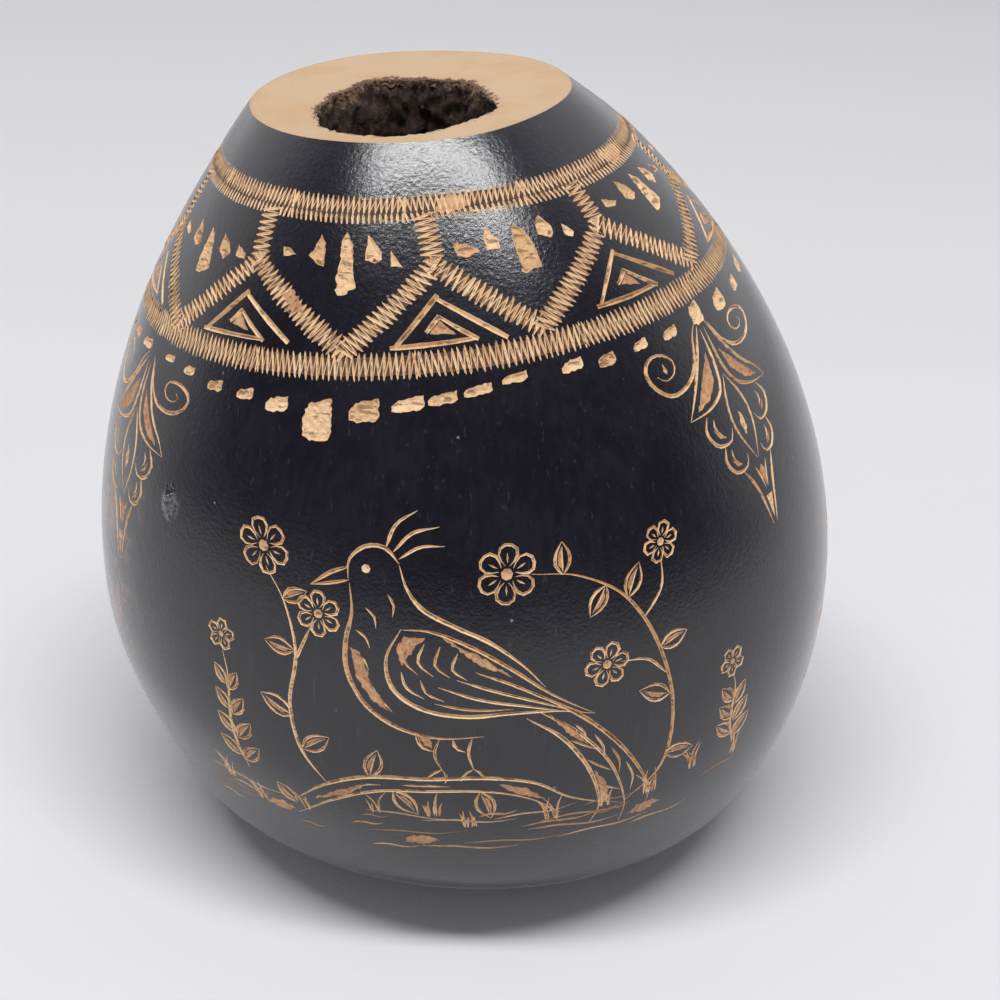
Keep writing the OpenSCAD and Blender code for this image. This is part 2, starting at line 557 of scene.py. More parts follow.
class WalkedGouge(NodeTool):
    """Geometry Nodes that walk a gouge along a path, leaving one leaf-shaped cut after another."""

    INPUTS = ("Pitch", "Half length", "Half width", "Slant", "Unevenness", "Seed", "Leaf", "Finish")

    def __init__(self, finish: bpy.types.Material) -> None:
        """Build the tree and the leaf that it repeats.

        Args:
            finish: The material of the cuts.
        """
        super().__init__("walked_gouge", "Path", self.INPUTS)
        self.finish = finish
        self.leaf = self._leaf()
        self._wire()

    def _leaf(self) -> bpy.types.Object:
        """Make the leaf that each cut is.

        Returns:
            A flat leaf, pointed at both ends, one unit to each side.
        """
        ys = (-1.0, -0.84, -0.35, 0.3, 0.8, 1.0)
        xs = (0.0, 0.7, 1.0, 1.0, 0.72, 0.0)
        right = [(x, y, 0) for x, y in zip(xs, ys)]
        left = [(-x, y, 0) for x, y in list(zip(xs, ys))[-2:0:-1]]
        mesh = bpy.data.meshes.new("leaf_cut")
        mesh.from_pydata(right + left, [], [tuple(range(len(right + left)))])
        return bpy.data.objects.new("leaf_cut", mesh)

    def _wire(self) -> None:
        """Join the nodes: path, even steps, and on each a leaf turned along the path."""
        link, given = self.link, self.given
        curve = self.node("GeometryNodeMeshToCurve")
        link(given["Path"], curve.inputs[0])
        steps = self.node("GeometryNodeResampleCurve", mode="LENGTH")
        link(curve.outputs[0], steps.inputs["Curve"])
        link(given["Pitch"], steps.inputs["Length"])
        along = self.node("FunctionNodeAlignRotationToVector", axis="X", pivot_axis="Z")
        link(self.node("GeometryNodeInputTangent").outputs[0], along.inputs["Vector"])
        wobble = self._random(0)
        angle = self.node("ShaderNodeMath", operation="ADD")
        link(given["Slant"], angle.inputs[0])
        link(wobble, angle.inputs[1])
        euler = self.node("ShaderNodeCombineXYZ")
        link(angle.outputs[0], euler.inputs["Z"])
        swing = self.node("FunctionNodeEulerToRotation")
        link(euler.outputs[0], swing.inputs[0])
        turned = self.node("FunctionNodeRotateRotation", rotation_space="LOCAL")
        link(along.outputs[0], turned.inputs[0])
        link(swing.outputs[0], turned.inputs[1])
        size = self.node("ShaderNodeCombineXYZ")
        for axis, name, salt in (("X", "Half width", 7), ("Y", "Half length", 13)):
            spread = self._random(salt)
            scaled = self.node("ShaderNodeMath", operation="MULTIPLY_ADD")
            scaled.inputs[1].default_value = 1.3
            scaled.inputs[2].default_value = 1.0
            link(spread, scaled.inputs[0])
            product = self.node("ShaderNodeMath", operation="MULTIPLY")
            link(scaled.outputs[0], product.inputs[0])
            link(given[name], product.inputs[1])
            link(product.outputs[0], size.inputs[axis])
        size.inputs["Z"].default_value = 1.0
        self.repeat(steps.outputs[0], "Leaf", turned.outputs[0], size.outputs[0])

    def _random(self, salt: int) -> bpy.types.NodeSocket:
        """A random number for each cut, from the group's seed.

        Args:
            salt: Sets this number apart from the group's others.

        Returns:
            The number's socket, ranging to both sides of 0 as far as Unevenness says.
        """
        seed = self.node("ShaderNodeMath", operation="ADD")
        self.link(self.given["Seed"], seed.inputs[0])
        seed.inputs[1].default_value = salt
        value = self.node("FunctionNodeRandomValue", data_type="FLOAT")
        value.inputs[2].default_value = -1.0
        value.inputs[3].default_value = 1.0
        self.link(seed.outputs[0], value.inputs["Seed"])
        product = self.node("ShaderNodeMath", operation="MULTIPLY")
        self.link(value.outputs[1], product.inputs[0])
        self.link(self.given["Unevenness"], product.inputs[1])
        return product.outputs[0]

    def walk(self, path: np.ndarray, **sizes: float) -> list[np.ndarray]:
        """Walk the gouge along a flat path.

        Args:
            path: Rows of x and y in millimetres.
            sizes: Pitch, half_length, half_width, slant, unevenness and seed.

        Returns:
            One outline for each cut, as rows of x and y.
        """
        mesh = bpy.data.meshes.new("gouge_path")
        mesh.from_pydata([(x, y, 0) for x, y in path], [(i, i + 1) for i in range(len(path) - 1)], [])
        values = {name.replace("_", " ").capitalize(): value for name, value in sizes.items()}
        made = self.run(mesh, {**values, "Leaf": self.leaf, "Finish": self.finish})
        spots = np.zeros(len(made.vertices) * 3)
        made.vertices.foreach_get("co", spots)
        spots = spots.reshape(-1, 3)[:, :2]
        outlines = [spots[list(p.vertices)] for p in made.polygons]
        bpy.data.meshes.remove(made)
        bpy.data.meshes.remove(mesh)
        return outlines


@dataclass
class Carving:
    """Everything that is cut into the skin."""

    form: GourdForm
    gouge: WalkedGouge
    cuts: list[Cut] = field(default_factory=list)
    chance: random.Random = field(default_factory=lambda: random.Random(41))

    def line(
        self,
        place: Place,
        points: Points,
        width: float = 0.55,
        tone: Tone = Tone.PALE,
        tips: tuple[float, float] = (0.12, 0.12),
    ) -> None:
        """Cut one line that swells and thins.

        Args:
            place: Where its flat grid lies.
            points: Where the line passes on the grid.
            width: Its greatest width.
            tone: Its colour.
            tips: Width of its two ends, as a share of the greatest.
        """
        path = smooth_path(points, 0.9)
        along = np.linspace(0, 1, len(path))
        swell = np.interp(along, (0, 0.22, 0.6, 1), (tips[0], 1, 0.92, tips[1]))
        swell = swell * np.array([1 + 0.16 * (self.chance.random() - 0.5) for _ in path])
        half = width / 2 * swell
        side = square_to(path) * half[:, None]
        outline = np.vstack([path + side, (path - side)[::-1]])
        depth = min(0.5, 0.62 * width)
        self.cuts.append(Cut(place.lay(outline), place.lay(path), half, depth, tone.value))

    def lines(self, place: Place, drawn: Iterable[Sequence[float]]) -> None:
        """Cut several lines, each given as its width and then x and y of its points in turn."""
        for width, *numbers in drawn:
            self.line(place, list(zip(numbers[::2], numbers[1::2])), width)

    def scoop(
        self,
        place: Place,
        outline: Points,
        depth: float = 0.4,
        tone: Tone = Tone.PALE,
        rough: float = 0.16,
    ) -> None:
        """Scrape out a patch with a ragged edge and a nearly level floor.

        Args:
            place: Where its flat grid lies.
            outline: Its corners, in order.
            depth: How deep it goes.
            tone: Its colour.
            rough: How far its edge strays.
        """
        corners = np.array(outline, float)
        loop = np.vstack([corners, corners[:1]])
        edge = []
        for a, b in zip(loop, loop[1:]):
            length = float(np.hypot(*(b - a)))
            count = max(1, int(length / 0.42))
            for i in range(count):
                stray = (0.0 if i == 0 else rough) * (self.chance.random() - 0.5) * 2
                side = np.array([-(b - a)[1], (b - a)[0]]) / max(length, 1e-6)
                edge.append(a + (b - a) * i / count + side * stray)
        self.level_cut(place.lay(np.array(edge)), depth, tone)

    def level_cut(self, outline: np.ndarray, depth: float, tone: Tone) -> None:
        """Add a cut with a level floor, given its outline in angle and length."""
        self.cuts.append(Cut(outline, np.zeros((0, 2)), np.zeros(0), depth, tone.value))

    def stitch(
        self,
        path: np.ndarray,
        pitch: float,
        reach: float,
        width: float,
        slant: float = 0.12,
        offset: float = 0.0,
        tone: Tone = Tone.PALE,
        uneven: float = 0.07,
        ahead: float = 0.0,
    ) -> None:
        """Walk the gouge along a path that is given in angle and length.

        Args:
            path: Rows of angle and length.
            pitch: Step from one cut to the next.
            reach: Half of a cut's length.
            width: A cut's width.
            slant: How far a cut leans along the path, in radians.
            offset: How far the row is moved to the left of the path.
            tone: Its colour.
            uneven: How much the cuts differ.
            ahead: How far the row is moved along the path.
        """
        az0 = float(path[:, 0].mean())
        flat = np.stack([(path[:, 0] - az0) * self.form.radius(path[:, 1]), path[:, 1]], -1)
        flat = smooth_path(flat, 1.5)
        whole = flat[-1] - flat[0]
        flat = flat + ahead * whole / max(float(np.hypot(*whole)), 1e-6)
        if offset:
            flat = flat + offset * square_to(flat)
        for outline in self.gouge.walk(
            flat,
            pitch=pitch,
            half_length=reach,
            half_width=width / 2,
            slant=slant,
            unevenness=uneven,
            seed=self.chance.randrange(1, 9999),
        ):
            laid = np.stack([az0 + outline[:, 0] / self.form.radius(outline[:, 1]), outline[:, 1]], -1)
            half_count = len(laid) // 2
            middle = [(laid[i] + laid[-i]) / 2 for i in range(1, half_count)]
            spine = np.array([laid[0]] + middle + [laid[half_count]])
            gaps = outline[1:half_count] - outline[:half_count:-1]
            half = np.concatenate([[0.0], np.linalg.norm(gaps, axis=1) / 2, [0.0]])
            self.cuts.append(Cut(laid, spine, half, min(0.3, 0.55 * width), tone.value))

    def zigzag(
        self,
        path: np.ndarray,
        pitch: float,
        reach: float,
        width: float,
        turn: float = 0.0,
        uneven: float = 0.07,
    ) -> None:
        """A walked zigzag: heavy cuts one way and light ones back between them, over a stained strip.

        Args:
            path: Rows of angle and length.
            pitch: Step from one heavy cut to the next.
            reach: Half of the zigzag's breadth.
            width: A heavy cut's width.
            turn: How far the whole zigzag leans along the path, in radians.
            uneven: How much the cuts differ.
        """
        lean = math.atan(pitch / (4 * reach))
        self.strip(path, reach * 0.66)
        back = {"slant": turn - lean * 1.2, "uneven": uneven, "tone": Tone.WARM, "ahead": pitch / 2}
        self.stitch(path, pitch, reach * 0.96, width * 0.42, **back)
        self.stitch(path, pitch, reach, width, turn + lean, uneven=uneven)

    def strip(self, path: np.ndarray, half: float) -> None:
        """Scrape a shallow stained strip along a path, under the cuts that follow.

        Args:
            path: Rows of angle and length.
            half: Half of its breadth.
        """
        scale = np.array([float(self.form.radius(path[:, 1].mean())), 1.0])
        flat = smooth_path(path * scale, 0.9)
        stray = np.array([self.chance.uniform(-0.12, 0.12) for _ in flat])[:, None]
        side = (half + stray) * square_to(flat)
        self.level_cut(np.vstack([flat + side, (flat - side)[::-1]]) / scale, 0.1, Tone.STAINED)


class Ornament:
    """The traditional pattern and the pictures, laid out round the gourd."""

    # Bands as height, rise to the right and rise to the back, and how many runs each is walked in
    UPPER = (65.9, -0.048, 0.033)
    LOWER = (48.3, -0.026, 0.011)
    RUNS = 12
    # Angles from the front, in degrees, and lengths up the side, as the hand placed them
    JOINTS = (
        (-34.6, 64.6), (6.4, 63.4), (45.4, 63.2), (85.0, 62.2), (124.6, 62.6), (165.0, 63.6), (205.2, 63.8),
        (245.0, 64.2), (285.4, 64.9),
    )
    FEET = (
        (-53.8, 53.0), (-12.2, 52.8), (24.4, 52.6), (64.4, 52.4), (105.4, 52.2), (145.2, 52.2),
        (184.6, 52.8), (224.2, 53.2), (265.6, 53.2),
    )
    PALMETTES = ((56.6, 44.6), (-59.4, 46.8), (177.0, 45.6))
    PANELS = ((1.6, 6.6), (117.0, 6.2), (-122.0, 7.2))
    # As above, and how wide or tall each is
    PATCHES = ((13.5, 2.3), (66.0, 2.6), (148.0, 3.0), (-96.0, 2.6))
    PLANTS = (
        (-33, 2, 22), (42.4, -9, 15), (80, -6, 17),
        (153, -8, 16), (-159, 0, 20), (-83, -7, 15),
    )
    DASHES = (
        (-52.6, 48.2, 2.6, 1), (-45.6, 47.7, 2.4, 1.2), (-38, 46.8, 2.9, 1.5), (-30.9, 46.5, 2.8, 1.5),
        (-24.2, 45.7, 3.5, 2), (-16.6, 43.9, 4.3, 5.4), (-8.5, 45, 4.2, 2.9), (-1.2, 45.5, 4.4, 1.8),
        (4.6, 45.8, 4, 1.5), (10.5, 46.2, 3.9, 1.3), (16.9, 46.9, 3.6, 1.2), (27.1, 46.6, 3.2, 1.6),
        (33.6, 45.9, 2.8, 1.6), (41, 46.1, 2.6, 1.3), (48.2, 45.8, 2.9, 1.5), (56.6, 46.2, 2.8, 3.2),
        (65.3, 45.5, 3.6, 2.6), (74.8, 45.1, 2.8, 2),
    )
    # Outlines on flat millimetre grids, and lines as their width and then x and y of their points in turn
    MARKS = (
        (
            (
                (-0.2, 2.3), (0.8, 0.4), (1, -3.1), (1.2, -4.3), (1.5, -5.4), (0.5, -5.7), (0.3, -6.2),
                (-1, -6.3), (-1.4, -5.6), (-1.1, -4.8), (-1.4, -4.2), (-0.9, -1.8), (-0.9, 1),
            ),
            ((-3.8, 2), (-3.1, 0.8), (-3.2, -2.4), (-4, -2.2), (-5.5, -0.9), (-4.6, 0.2)),
            ((-9.5, 0.1), (-8.5, 0), (-7.4, -0.9), (-9.4, -1.2)),
            ((2.7, 1.7), (3.6, 0.8), (4.7, -0.7), (4.8, -1.7), (3.9, -2.2), (2.5, -1.7)),
            ((5.9, -0.6), (6.6, -1.6), (7.6, -3), (6, -2.8)),
        ),
        (
            (
                (-0.5, 0.3), (0.6, -0.6), (1.2, -2), (1.5, -4.1), (1.4, -6.3), (0.2, -6.2), (-0.9, -6.7),
                (-1.6, -6.2), (-1.2, -5.7), (-1.2, -4), (-1.2, -2.2), (-0.9, -0.4),
            ),
            ((-4.2, 1), (-3, -1.5), (-3.2, -2.5), (-5, -2.4), (-4.9, -0.8)),
            ((-9, -0.5), (-9, -2.5), (-8, -2.9), (-5.9, -2.3), (-7.2, -1.1)),
            ((3.5, 0.6), (4.7, -1.2), (4.7, -2.3), (4.1, -2.9), (2.5, -2), (2.6, -0.4)),
            ((6.3, -1.5), (7.1, -2.2), (7.8, -3.1), (7.4, -3.7), (6.3, -3.1)),
        ),
        (
            ((-0.8, 0.6), (0.5, -0.4), (1.2, -2), (2.3, -4.9), (0.4, -5.9), (-0.7, -5.9), (-1, -3.6)),
            ((-4.8, 0.9), (-3.4, -0.2), (-2.4, -2), (-3.3, -2.7), (-4, -2.7), (-5.2, -2)),
            ((-9.4, -0.5), (-7.1, -1.6), (-7.9, -2.2), (-9.7, -1.7)),
            ((2.8, 0.4), (4.6, -0.6), (5.6, -2), (4.6, -3.1), (3, -2)),
            ((6.6, -0.6), (8.6, -1.6), (8.8, -2.4), (6.9, -2.2)),
        ),
    )
    BIRD = (
        (0.6, -5.6, 18.4, -7.2, 20.6, -9.8, 20.9, -12.2, 19.2, -12.7, 16.6),
        (0.6, -12.3, 18.2, -15, 17.4, -18.2, 15.6), (0.5, -12.6, 16.4, -15, 16, -18.2, 15.6),
        (0.5, -7.2, 20.4, -5.4, 23.6, -2.4, 25.2), (0.5, -6.2, 20, -3.4, 22.3, 0.2, 22.8),
        (0.45, -5.6, 19, -2.6, 20.4, 0.6, 20.2),
        (0.7, -12.6, 16, -12.8, 12, -14.2, 8, -14.6, 3.5, -12.6, -1.5, -8.5, -5, -3.5, -6.8, 2.6, -7.2),
        (0.65, -5.6, 18.2, -5, 15, -3.2, 12, 0.5, 9.4, 5, 6.5, 9, 2.5, 11.6, -1.2),
        (0.65, -6.5, 9.5, -9, 5.5, -8.6, 1, -5, -2.2, 0.5, -3.8, 6.5, -4.2, 13, -5.2, 18, -7),
        (0.55, -6.5, 9.5, -2.5, 8.9, 2.5, 6.2, 7.5, 2.2, 12.5, -2.6, 18, -7),
        (0.4, -5.4, 7.8, -6.6, 5.2, -5, 3), (0.4, -3.6, 7.4, -4.8, 4.8, -3, 2.6),
        (0.4, -1.6, 6.8, -2.6, 4.2, -0.8, 2.2), (0.4, 0.6, 5.6, -0.4, 3.4, 1.4, 1.6),
        (0.4, -7.2, 3.6, -6.8, 1.2, -4.6, -0.6), (0.4, -4.8, 2.2, -4.2, 0.2, -2, -1.2),
        (0.45, -2.6, 1, 3, -1.6, 9, -3.6, 14.6, -5.8), (0.45, 0, 1.8, 5, -0.6, 10.4, -3.2, 15.6, -6),
        (0.45, 2.6, 2.6, 7, 0.2, 11.6, -3, 16.4, -6.4), (0.4, -3.4, -1.4, 1.6, -2.9, 7, -3.6),
        (0.65, 10.8, -2.4, 16.8, -7.6, 21.8, -14.6, 24.8, -22.6, 24, -27.2),
        (0.65, 8.6, -5.4, 13.2, -9.8, 16.4, -16.4, 17.2, -23.2, 15.4, -27),
        (0.5, 10, -4.4, 15.2, -9.2, 19.4, -16, 21, -24, 19.8, -28.6),
        (0.35, 15, -8, 16.2, -9.6, 16.4, -11.6), (0.35, 17.6, -10.4, 18.6, -12.6, 18.8, -14.6),
        (0.35, 19.8, -13.4, 20.8, -16, 20.6, -18.4), (0.35, 21.8, -16.8, 22.6, -19.8, 22, -22.4),
        (0.35, 14.2, -10.4, 15.8, -11.6, 17.6, -13), (0.35, 16.2, -14.4, 17.6, -15.8, 19.6, -17.6),
        (0.35, 17, -18.8, 18.4, -20.2, 20.4, -21.6), (0.5, -6.5, -5.7, -6, -8, -4.2, -9),
        (0.5, -1.6, -7.1, -1.4, -8.6, -0.2, -9.4), (0.45, -3.4, -7, -4.4, -9.4, -3.6, -12.4),
        (0.45, 1, -7.3, 0.2, -9.6, 0.6, -12.6), (0.4, -3.6, -12, -5.2, -12.8, -6.2, -13.8),
        (0.4, -3.6, -12.2, -3.2, -13.4, -3.6, -14.6), (0.4, 0.6, -12.4, -0.8, -13.2, -1.4, -14.4),
        (0.4, 0.6, -12.4, 1.6, -13.4, 1.8, -14.6), (0.35, -12.6, 9.6, -11.4, 8.6, -11, 7),
        (0.35, -13.4, 6.4, -12, 5.4, -11.6, 3.8), (0.35, -13.2, 3, -11.8, 2, -11.2, 0.4),
        (0.35, -11.6, -0.2, -10.2, -1, -9.2, -2.4), (0.35, -10.8, 12.6, -9.8, 11.4, -9.8, 9.8),
        (0.35, -7.6, 14.4, -7, 12.8, -7.4, 11.2),
    )
    BOUGH = (
        (0.7, -27.6, -20.4, -21, -15.4, -14, -13.2, -6, -13.6, 2, -14.2, 8.6, -16.4, 13.4, -20.6, 20.6,
            -24.6), (0.55, -27, -23, -20.4, -18.4, -13.4, -15.8, -6, -15.8, 1.6, -16.6, 7.4, -19, 11.6, -23),
        (0.6, -20.4, -15.4, -23.6, -9.4, -24, -2, -21.8, 5.6, -22.4, 12.6, -24.6, 17.4),
        (0.5, -22.4, 4, -20, 8, -18.8, 10),
        (0.6, 20.6, -24.6, 27.4, -19.4, 29.8, -9.6, 28.2, 0.6, 24, 8.6, 17.6, 13.2, 11.4, 14.8),
        (0.45, 29.2, -4.6, 26.4, -1.4, 22.4, -0.4), (0.45, 26.4, 4.6, 29.6, 8, 30, 12),
        (0.4, -18, -16.4, -15.4, -14.8, -12.6, -14.6), (0.4, -9.6, -14.6, -6, -14.8, -2.8, -15.2),
    )
    PALMETTE = (
        (0.65, -1.4, 0.6, -3, -0.8, -5.2, -4.2, -8, -6.2, -11.4, -6.6, -13.6, -4.6, -13.8, -2.2, -12.2, -0.8,
            -10.1, -0.9, -8.7, -2.4, -9.4, -3.9, -11.3, -4.4, -12.4, -3.4),
        (0.6, -1.2, 0, -4.7, -4.4, -8, -8.2, -10.5, -10.9),
        (0.6, -0.8, -0.6, -1.3, -5.6, -2.6, -9.2, -5.6, -10.6, -8.2, -10.9, -10.5, -10.9),
        (0.6, 0.9, 0.4, 2.4, -3.6, 5, -7.4, 8, -9.9, 9.8, -12),
        (0.6, 0.2, -0.6, 0.1, -5.8, 1.6, -9.4, 5, -11.2, 9.8, -12),
        (0.6, 1.4, -0.2, 2.2, -2.1, 3.1, -3.7, 5.5, -5.4, 9.2, -5.7, 11.8, -4.6, 12.6, -3, 11, -1.8, 8.7,
            -1.4, 6.9, -1.8, 6.4, -2.9, 7.4, -3.9, 9, -4.1, 10.2, -3.5, 9.4, -2.8),
        (0.5, -0.7, -7.6, -2.5, -11.6, -2.6, -15.6, -0.3, -20.6),
        (0.5, -0.5, -7.6, 1.5, -11.8, 1.7, -15.8, 0, -20.6),
        (0.6, -7.4, -11.4, -8.6, -13.4, -7.4, -15.8, -4.6, -16.2, -3.4, -14.6),
        (0.6, -6.2, -16.4, -7, -18.6, -5.6, -20.6, -3, -20.6, -2.2, -19),
        (0.6, 6.2, -11.8, 7.6, -13.9, 6.4, -16, 3.8, -16.4, 2.6, -15),
        (0.6, 5.2, -16.6, 5.8, -18.8, 4.4, -20.6, 2.2, -20.6, 1.6, -19.2),
        (0.45, -6.4, -12.2, -6.8, -13.6, -5.8, -14.8), (0.45, 5, -12.6, 5.6, -13.8, 4.8, -14.8),
        (0.45, -5.2, -17.2, -5.4, -18.6, -4.6, -19.4), (0.45, 4, -17.4, 4.2, -18.6, 3.4, -19.4),
        (0.6, -4.4, -20.8, -2.4, -24.4, -0.8, -30.6), (0.6, 3.6, -20.8, 1.8, -24.8, 0.2, -30.6),
        (0.4, -1.6, -21.4, -0.8, -23.4, -0.4, -25.2), (0.4, 1.4, -21.4, 0.6, -23.4, 0.2, -25.2),
    )
    PALMETTE_BROWN = (
        ((-2, -3.6), (-3, -7.6), (-5.4, -9.6), (-8.6, -10.3), (-5.2, -6.6)),
        ((1, -4.2), (1.8, -7.6), (4.6, -10.2), (7.6, -11), (4.2, -7.8)),
        ((-7.2, -13.4), (-6.6, -15), (-5.2, -15.4), (-6.2, -14.4)),
        ((6.4, -13.8), (5.8, -15.2), (4.6, -15.5), (5.6, -14.6)),
        ((-6, -18.4), (-5.2, -19.8), (-4, -19.9), (-5, -19.2)),
        ((4.9, -18.6), (4.2, -19.8), (3.2, -19.9), (4, -19.2)),
        ((-0.9, -22.4), (-0.1, -21.6), (0.8, -22.6), (0, -25)),
    )
    BIRD_BROWN = (
        ((-13.8, 7.2), (-12.4, 6.4), (-11.4, 1.6), (-9.6, -2.2), (-11.6, -0.8), (-13.4, 2.6)),
        ((-7.4, 6.8), (-6.2, 8.6), (-3.4, 8.2), (-5, 6.8), (-7, 4.4)),
        ((-1.2, 8), (3.4, 4.9), (7.4, 1.2), (3.2, 3.6)),
        ((11.6, -5.4), (14.6, -8.2), (16.6, -11.8), (14.2, -9.6)),
        ((17, -16.6), (18.6, -19.6), (18.8, -24.6), (17.6, -22)),
        ((-6.2, -5.8), (-4.6, -6.5), (-4.6, -8.4), (-5.6, -7.8)),
        ((-24, -18.9), (-18.6, -15.9), (-14.6, -14.7), (-18, -16.9)),
        ((3.4, -15.4), (7.6, -17.2), (9.8, -19.8), (6, -17.9)),
    )
    # A petal's edge as radius and turn in shares, blossoms as x, y and size, leaves as x, y, length and angle
    PETAL = ((0.3, -0.5), (0.7, -0.9), (1.0, -0.45), (1.02, 0.4), (0.72, 0.9), (0.3, 0.5))
    BLOSSOMS = (
        (-24.6, 20.2, 3.6), (-17.6, 11.6, 3.0), (8.2, 15.4, 3.8), (20.4, -0.2, 3.0), (30.2, 14.0, 2.6)
    )
    LEAVES = (
        (-23.8, -4, 5.6, 2.6), (-23.4, -9.4, 5.2, 0.5), (-22, 6, 4.6, 2.9), (-22.6, 13.2, 4, 0.35),
        (-14, -13.2, 5, 1.2), (-11, -15.7, 5.4, -1), (1, -16.6, 5.4, -1.4), (29.4, -8, 5.2, 2.7),
        (28.6, -0.4, 4.6, 0.2), (24.4, 8.2, 4.8, 1.1), (21.4, 10.8, 4.6, -2.2), (15.6, 13.8, 4.4, 1.5),
        (27.8, -18, 5, -0.2), (-26.6, -20.6, 4.6, 2.2),
    )

    def __init__(self, form: GourdForm, carving: Carving) -> None:
        """Keep what the ornament is laid out on.

        Args:
            form: The gourd's surface.
            carving: The carving that it adds to.
        """
        self.form = form
        self.carving = carving
        self.chance = random.Random(7)

    def spot(self, degrees: float, u: float, **more: object) -> Place:
        """A place at an angle in degrees, kept between minus and plus half a turn."""
        return Place(self.form, math.radians((degrees + 180) % 360 - 180), u, **more)

    def by(self, low: float, high: float) -> float:
        """A chance number from low to high."""
        return self.chance.uniform(low, high)

    def ring(self, height: float, to_right: float, to_back: float, count: int = 240) -> np.ndarray:
        """Lay a tilted, slightly wandering ring round the stem, as rows of angle and length.

        Args:
            height: Its height above the widest ring.
            to_right: How far it rises for each millimetre to the right.
            to_back: How far it rises for each millimetre to the back.
            count: How many points it has.

        Returns:
            Its rows, from the back round by the left.
        """
        az = np.linspace(-math.pi, math.pi, count)
        z = np.full(count, height)
        for _ in range(6):
            r = self.form.radius(self.form.u_at_height(z))
            z = height + to_right * r * np.sin(az) - to_back * r * np.cos(az)
        round_spots = [Vector((math.sin(a) * 2.2, math.cos(a) * 2.2, height)) for a in az]
        wander = np.array([0.3 * noise.noise(spot) for spot in round_spots])
        return np.stack([az, self.form.u_at_height(z) + wander], -1)

    def bands(self) -> None:
        """The two walked bands round the shoulder: strips and worn patches first, strokes over them."""
        upper = self.ring(*self.UPPER)
        lower = self.ring(*self.LOWER)
        runs = [slice(part[0], part[-1] + 2) for part in np.array_split(np.arange(len(upper)), self.RUNS)]
        for run in runs:
            self.carving.strip(upper[run], 1.35)
        for az, wide in self.PATCHES:
            at = int(np.argmin(np.abs(upper[:, 0] - math.radians(az))))
            place = Place(self.form, float(upper[at, 0]), float(upper[at, 1]))
            low = ((-wide, -0.7), (-wide * 0.3, -1.3), (wide * 0.5, -1.0), (wide, -0.4))
            high = ((wide * 0.7, 1.1), (0, 1.4), (-wide * 0.8, 0.8))
            self.carving.scoop(place, low + high, 0.12, Tone.BROWN, 0.3)
        pitch = 0.74
        for run in runs:
            path = upper[run]
            self.carving.stitch(path, pitch, 1.3, 0.14, -0.26, offset=0.5, tone=Tone.WARM, ahead=pitch / 2)
            self.carving.stitch(path, pitch, 1.28, 0.3, 0.1, offset=0.66)
            self.carving.stitch(path, pitch, 0.74, 0.36, 0.18, offset=-1.36, ahead=0.2)
        for run in runs:
            self.carving.zigzag(lower[run], 0.81, 1.86, 0.35)

    def cells(self) -> None:
        """Stubs, slanting bands, framed triangles and gouged marks between the two bands."""
        count = len(self.JOINTS)
        upper = self.ring(*self.UPPER)
        for i, (az, u) in enumerate(self.JOINTS):
            joint = np.array([math.radians(az), u])
            level = float(upper[np.argmin(np.abs(upper[:, 0] - self.spot(az, u).az)), 1])
            top = np.array([math.radians(az - 0.9), max(u + 6.4, level - 1.3)])
            self.carving.zigzag(self._path(top, joint), 0.82, 1.6, 0.4)
            for foot_az, foot_u in (self.FEET[i], self.FEET[(i + 1) % count]):
                foot_az = foot_az + 360 if foot_az < az - 60 else foot_az
                foot = np.array([math.radians(foot_az), foot_u])
                left = foot_az < az
                path = self._path(foot, joint) if left else self._path(joint, foot)
                self.carving.zigzag(path, 0.85, 1.62, 0.41, 0.14 if left else -0.1, 0.1)
            self.triangle(self.spot(az - 0.6, u - 4.5))
            foot_az = self.FEET[(i + 1) % count][0]
            seen = i < len(self.MARKS)
            near = (-0.3, 1.6, 1.6)[i] if seen else self.by(-0.4, 1.6)
            self.marks(self.spot(foot_az + near, 66.6 if seen else 66.6 + self.by(-0.6, 0.6)), i)
        worn = Place(self.form, math.radians(-23.6), 59.4, turn=-0.85)
        patch = ((-1.9, -0.8), (1.4, -1.0), (2.1, 0.5), (-1.3, 0.9))
        self.carving.scoop(worn, patch, 0.14, Tone.BROWN, 0.25)

    def _path(self, start: np.ndarray, end: np.ndarray) -> np.ndarray:
        """Lay a path with a slight bow between two spots.

        Args:
            start: Angle and length of its start.
            end: Angle and length of its end.

        Returns:
            Rows of angle and length.
        """
        t = np.linspace(0, 1, 9)[:, None]
        bow = self.by(-0.008, 0.008) * np.sin(math.pi * t)
        return start + (end - start) * t + np.hstack([bow, 0 * bow])

    def triangle(self, place: Place) -> None:
        """A triangle drawn in one winding line, with a brown heart.

        Args:
            place: Where its top lies.
        """

        def near(x: float, y: float) -> tuple[float, float]:
            """A spot close to another."""
            return x + self.by(-0.35, 0.35), y + self.by(-0.3, 0.3)

        turns = [
            near(8.4, -6.0), near(0, 0), near(-6.2, -5.8), near(4.4, -5.9), near(0.1, -2.6), near(-2.1, -4.2)
        ]
        over = 0.06
        for a, b in zip(turns, turns[1:]):
            start = (a[0] - (b[0] - a[0]) * over, a[1] - (b[1] - a[1]) * over)
            middle = ((a[0] + b[0]) / 2 + self.by(-0.1, 0.1), (a[1] + b[1]) / 2 + self.by(-0.1, 0.1))
            self.carving.line(place, (start, middle, b), self.by(0.62, 0.78), tips=(0.8, 0.7))
        right, top, left = turns[3:]
        heart = ((top[0], top[1] - 0.5), (left[0] + 0.5, left[1] - 0.2), (right[0] - 2.6, right[1] + 0.9))
        self.carving.scoop(place, heart, 0.16, Tone.BROWN, 0.1)

    def marks(self, place: Place, index: int) -> None:
        """Five gouged marks that hang in a cell: small, drop, long bar, drop, small."""
        for shape in self.MARKS[index % len(self.MARKS)]:
            self.carving.scoop(place, shape, 0.42, rough=0.1)

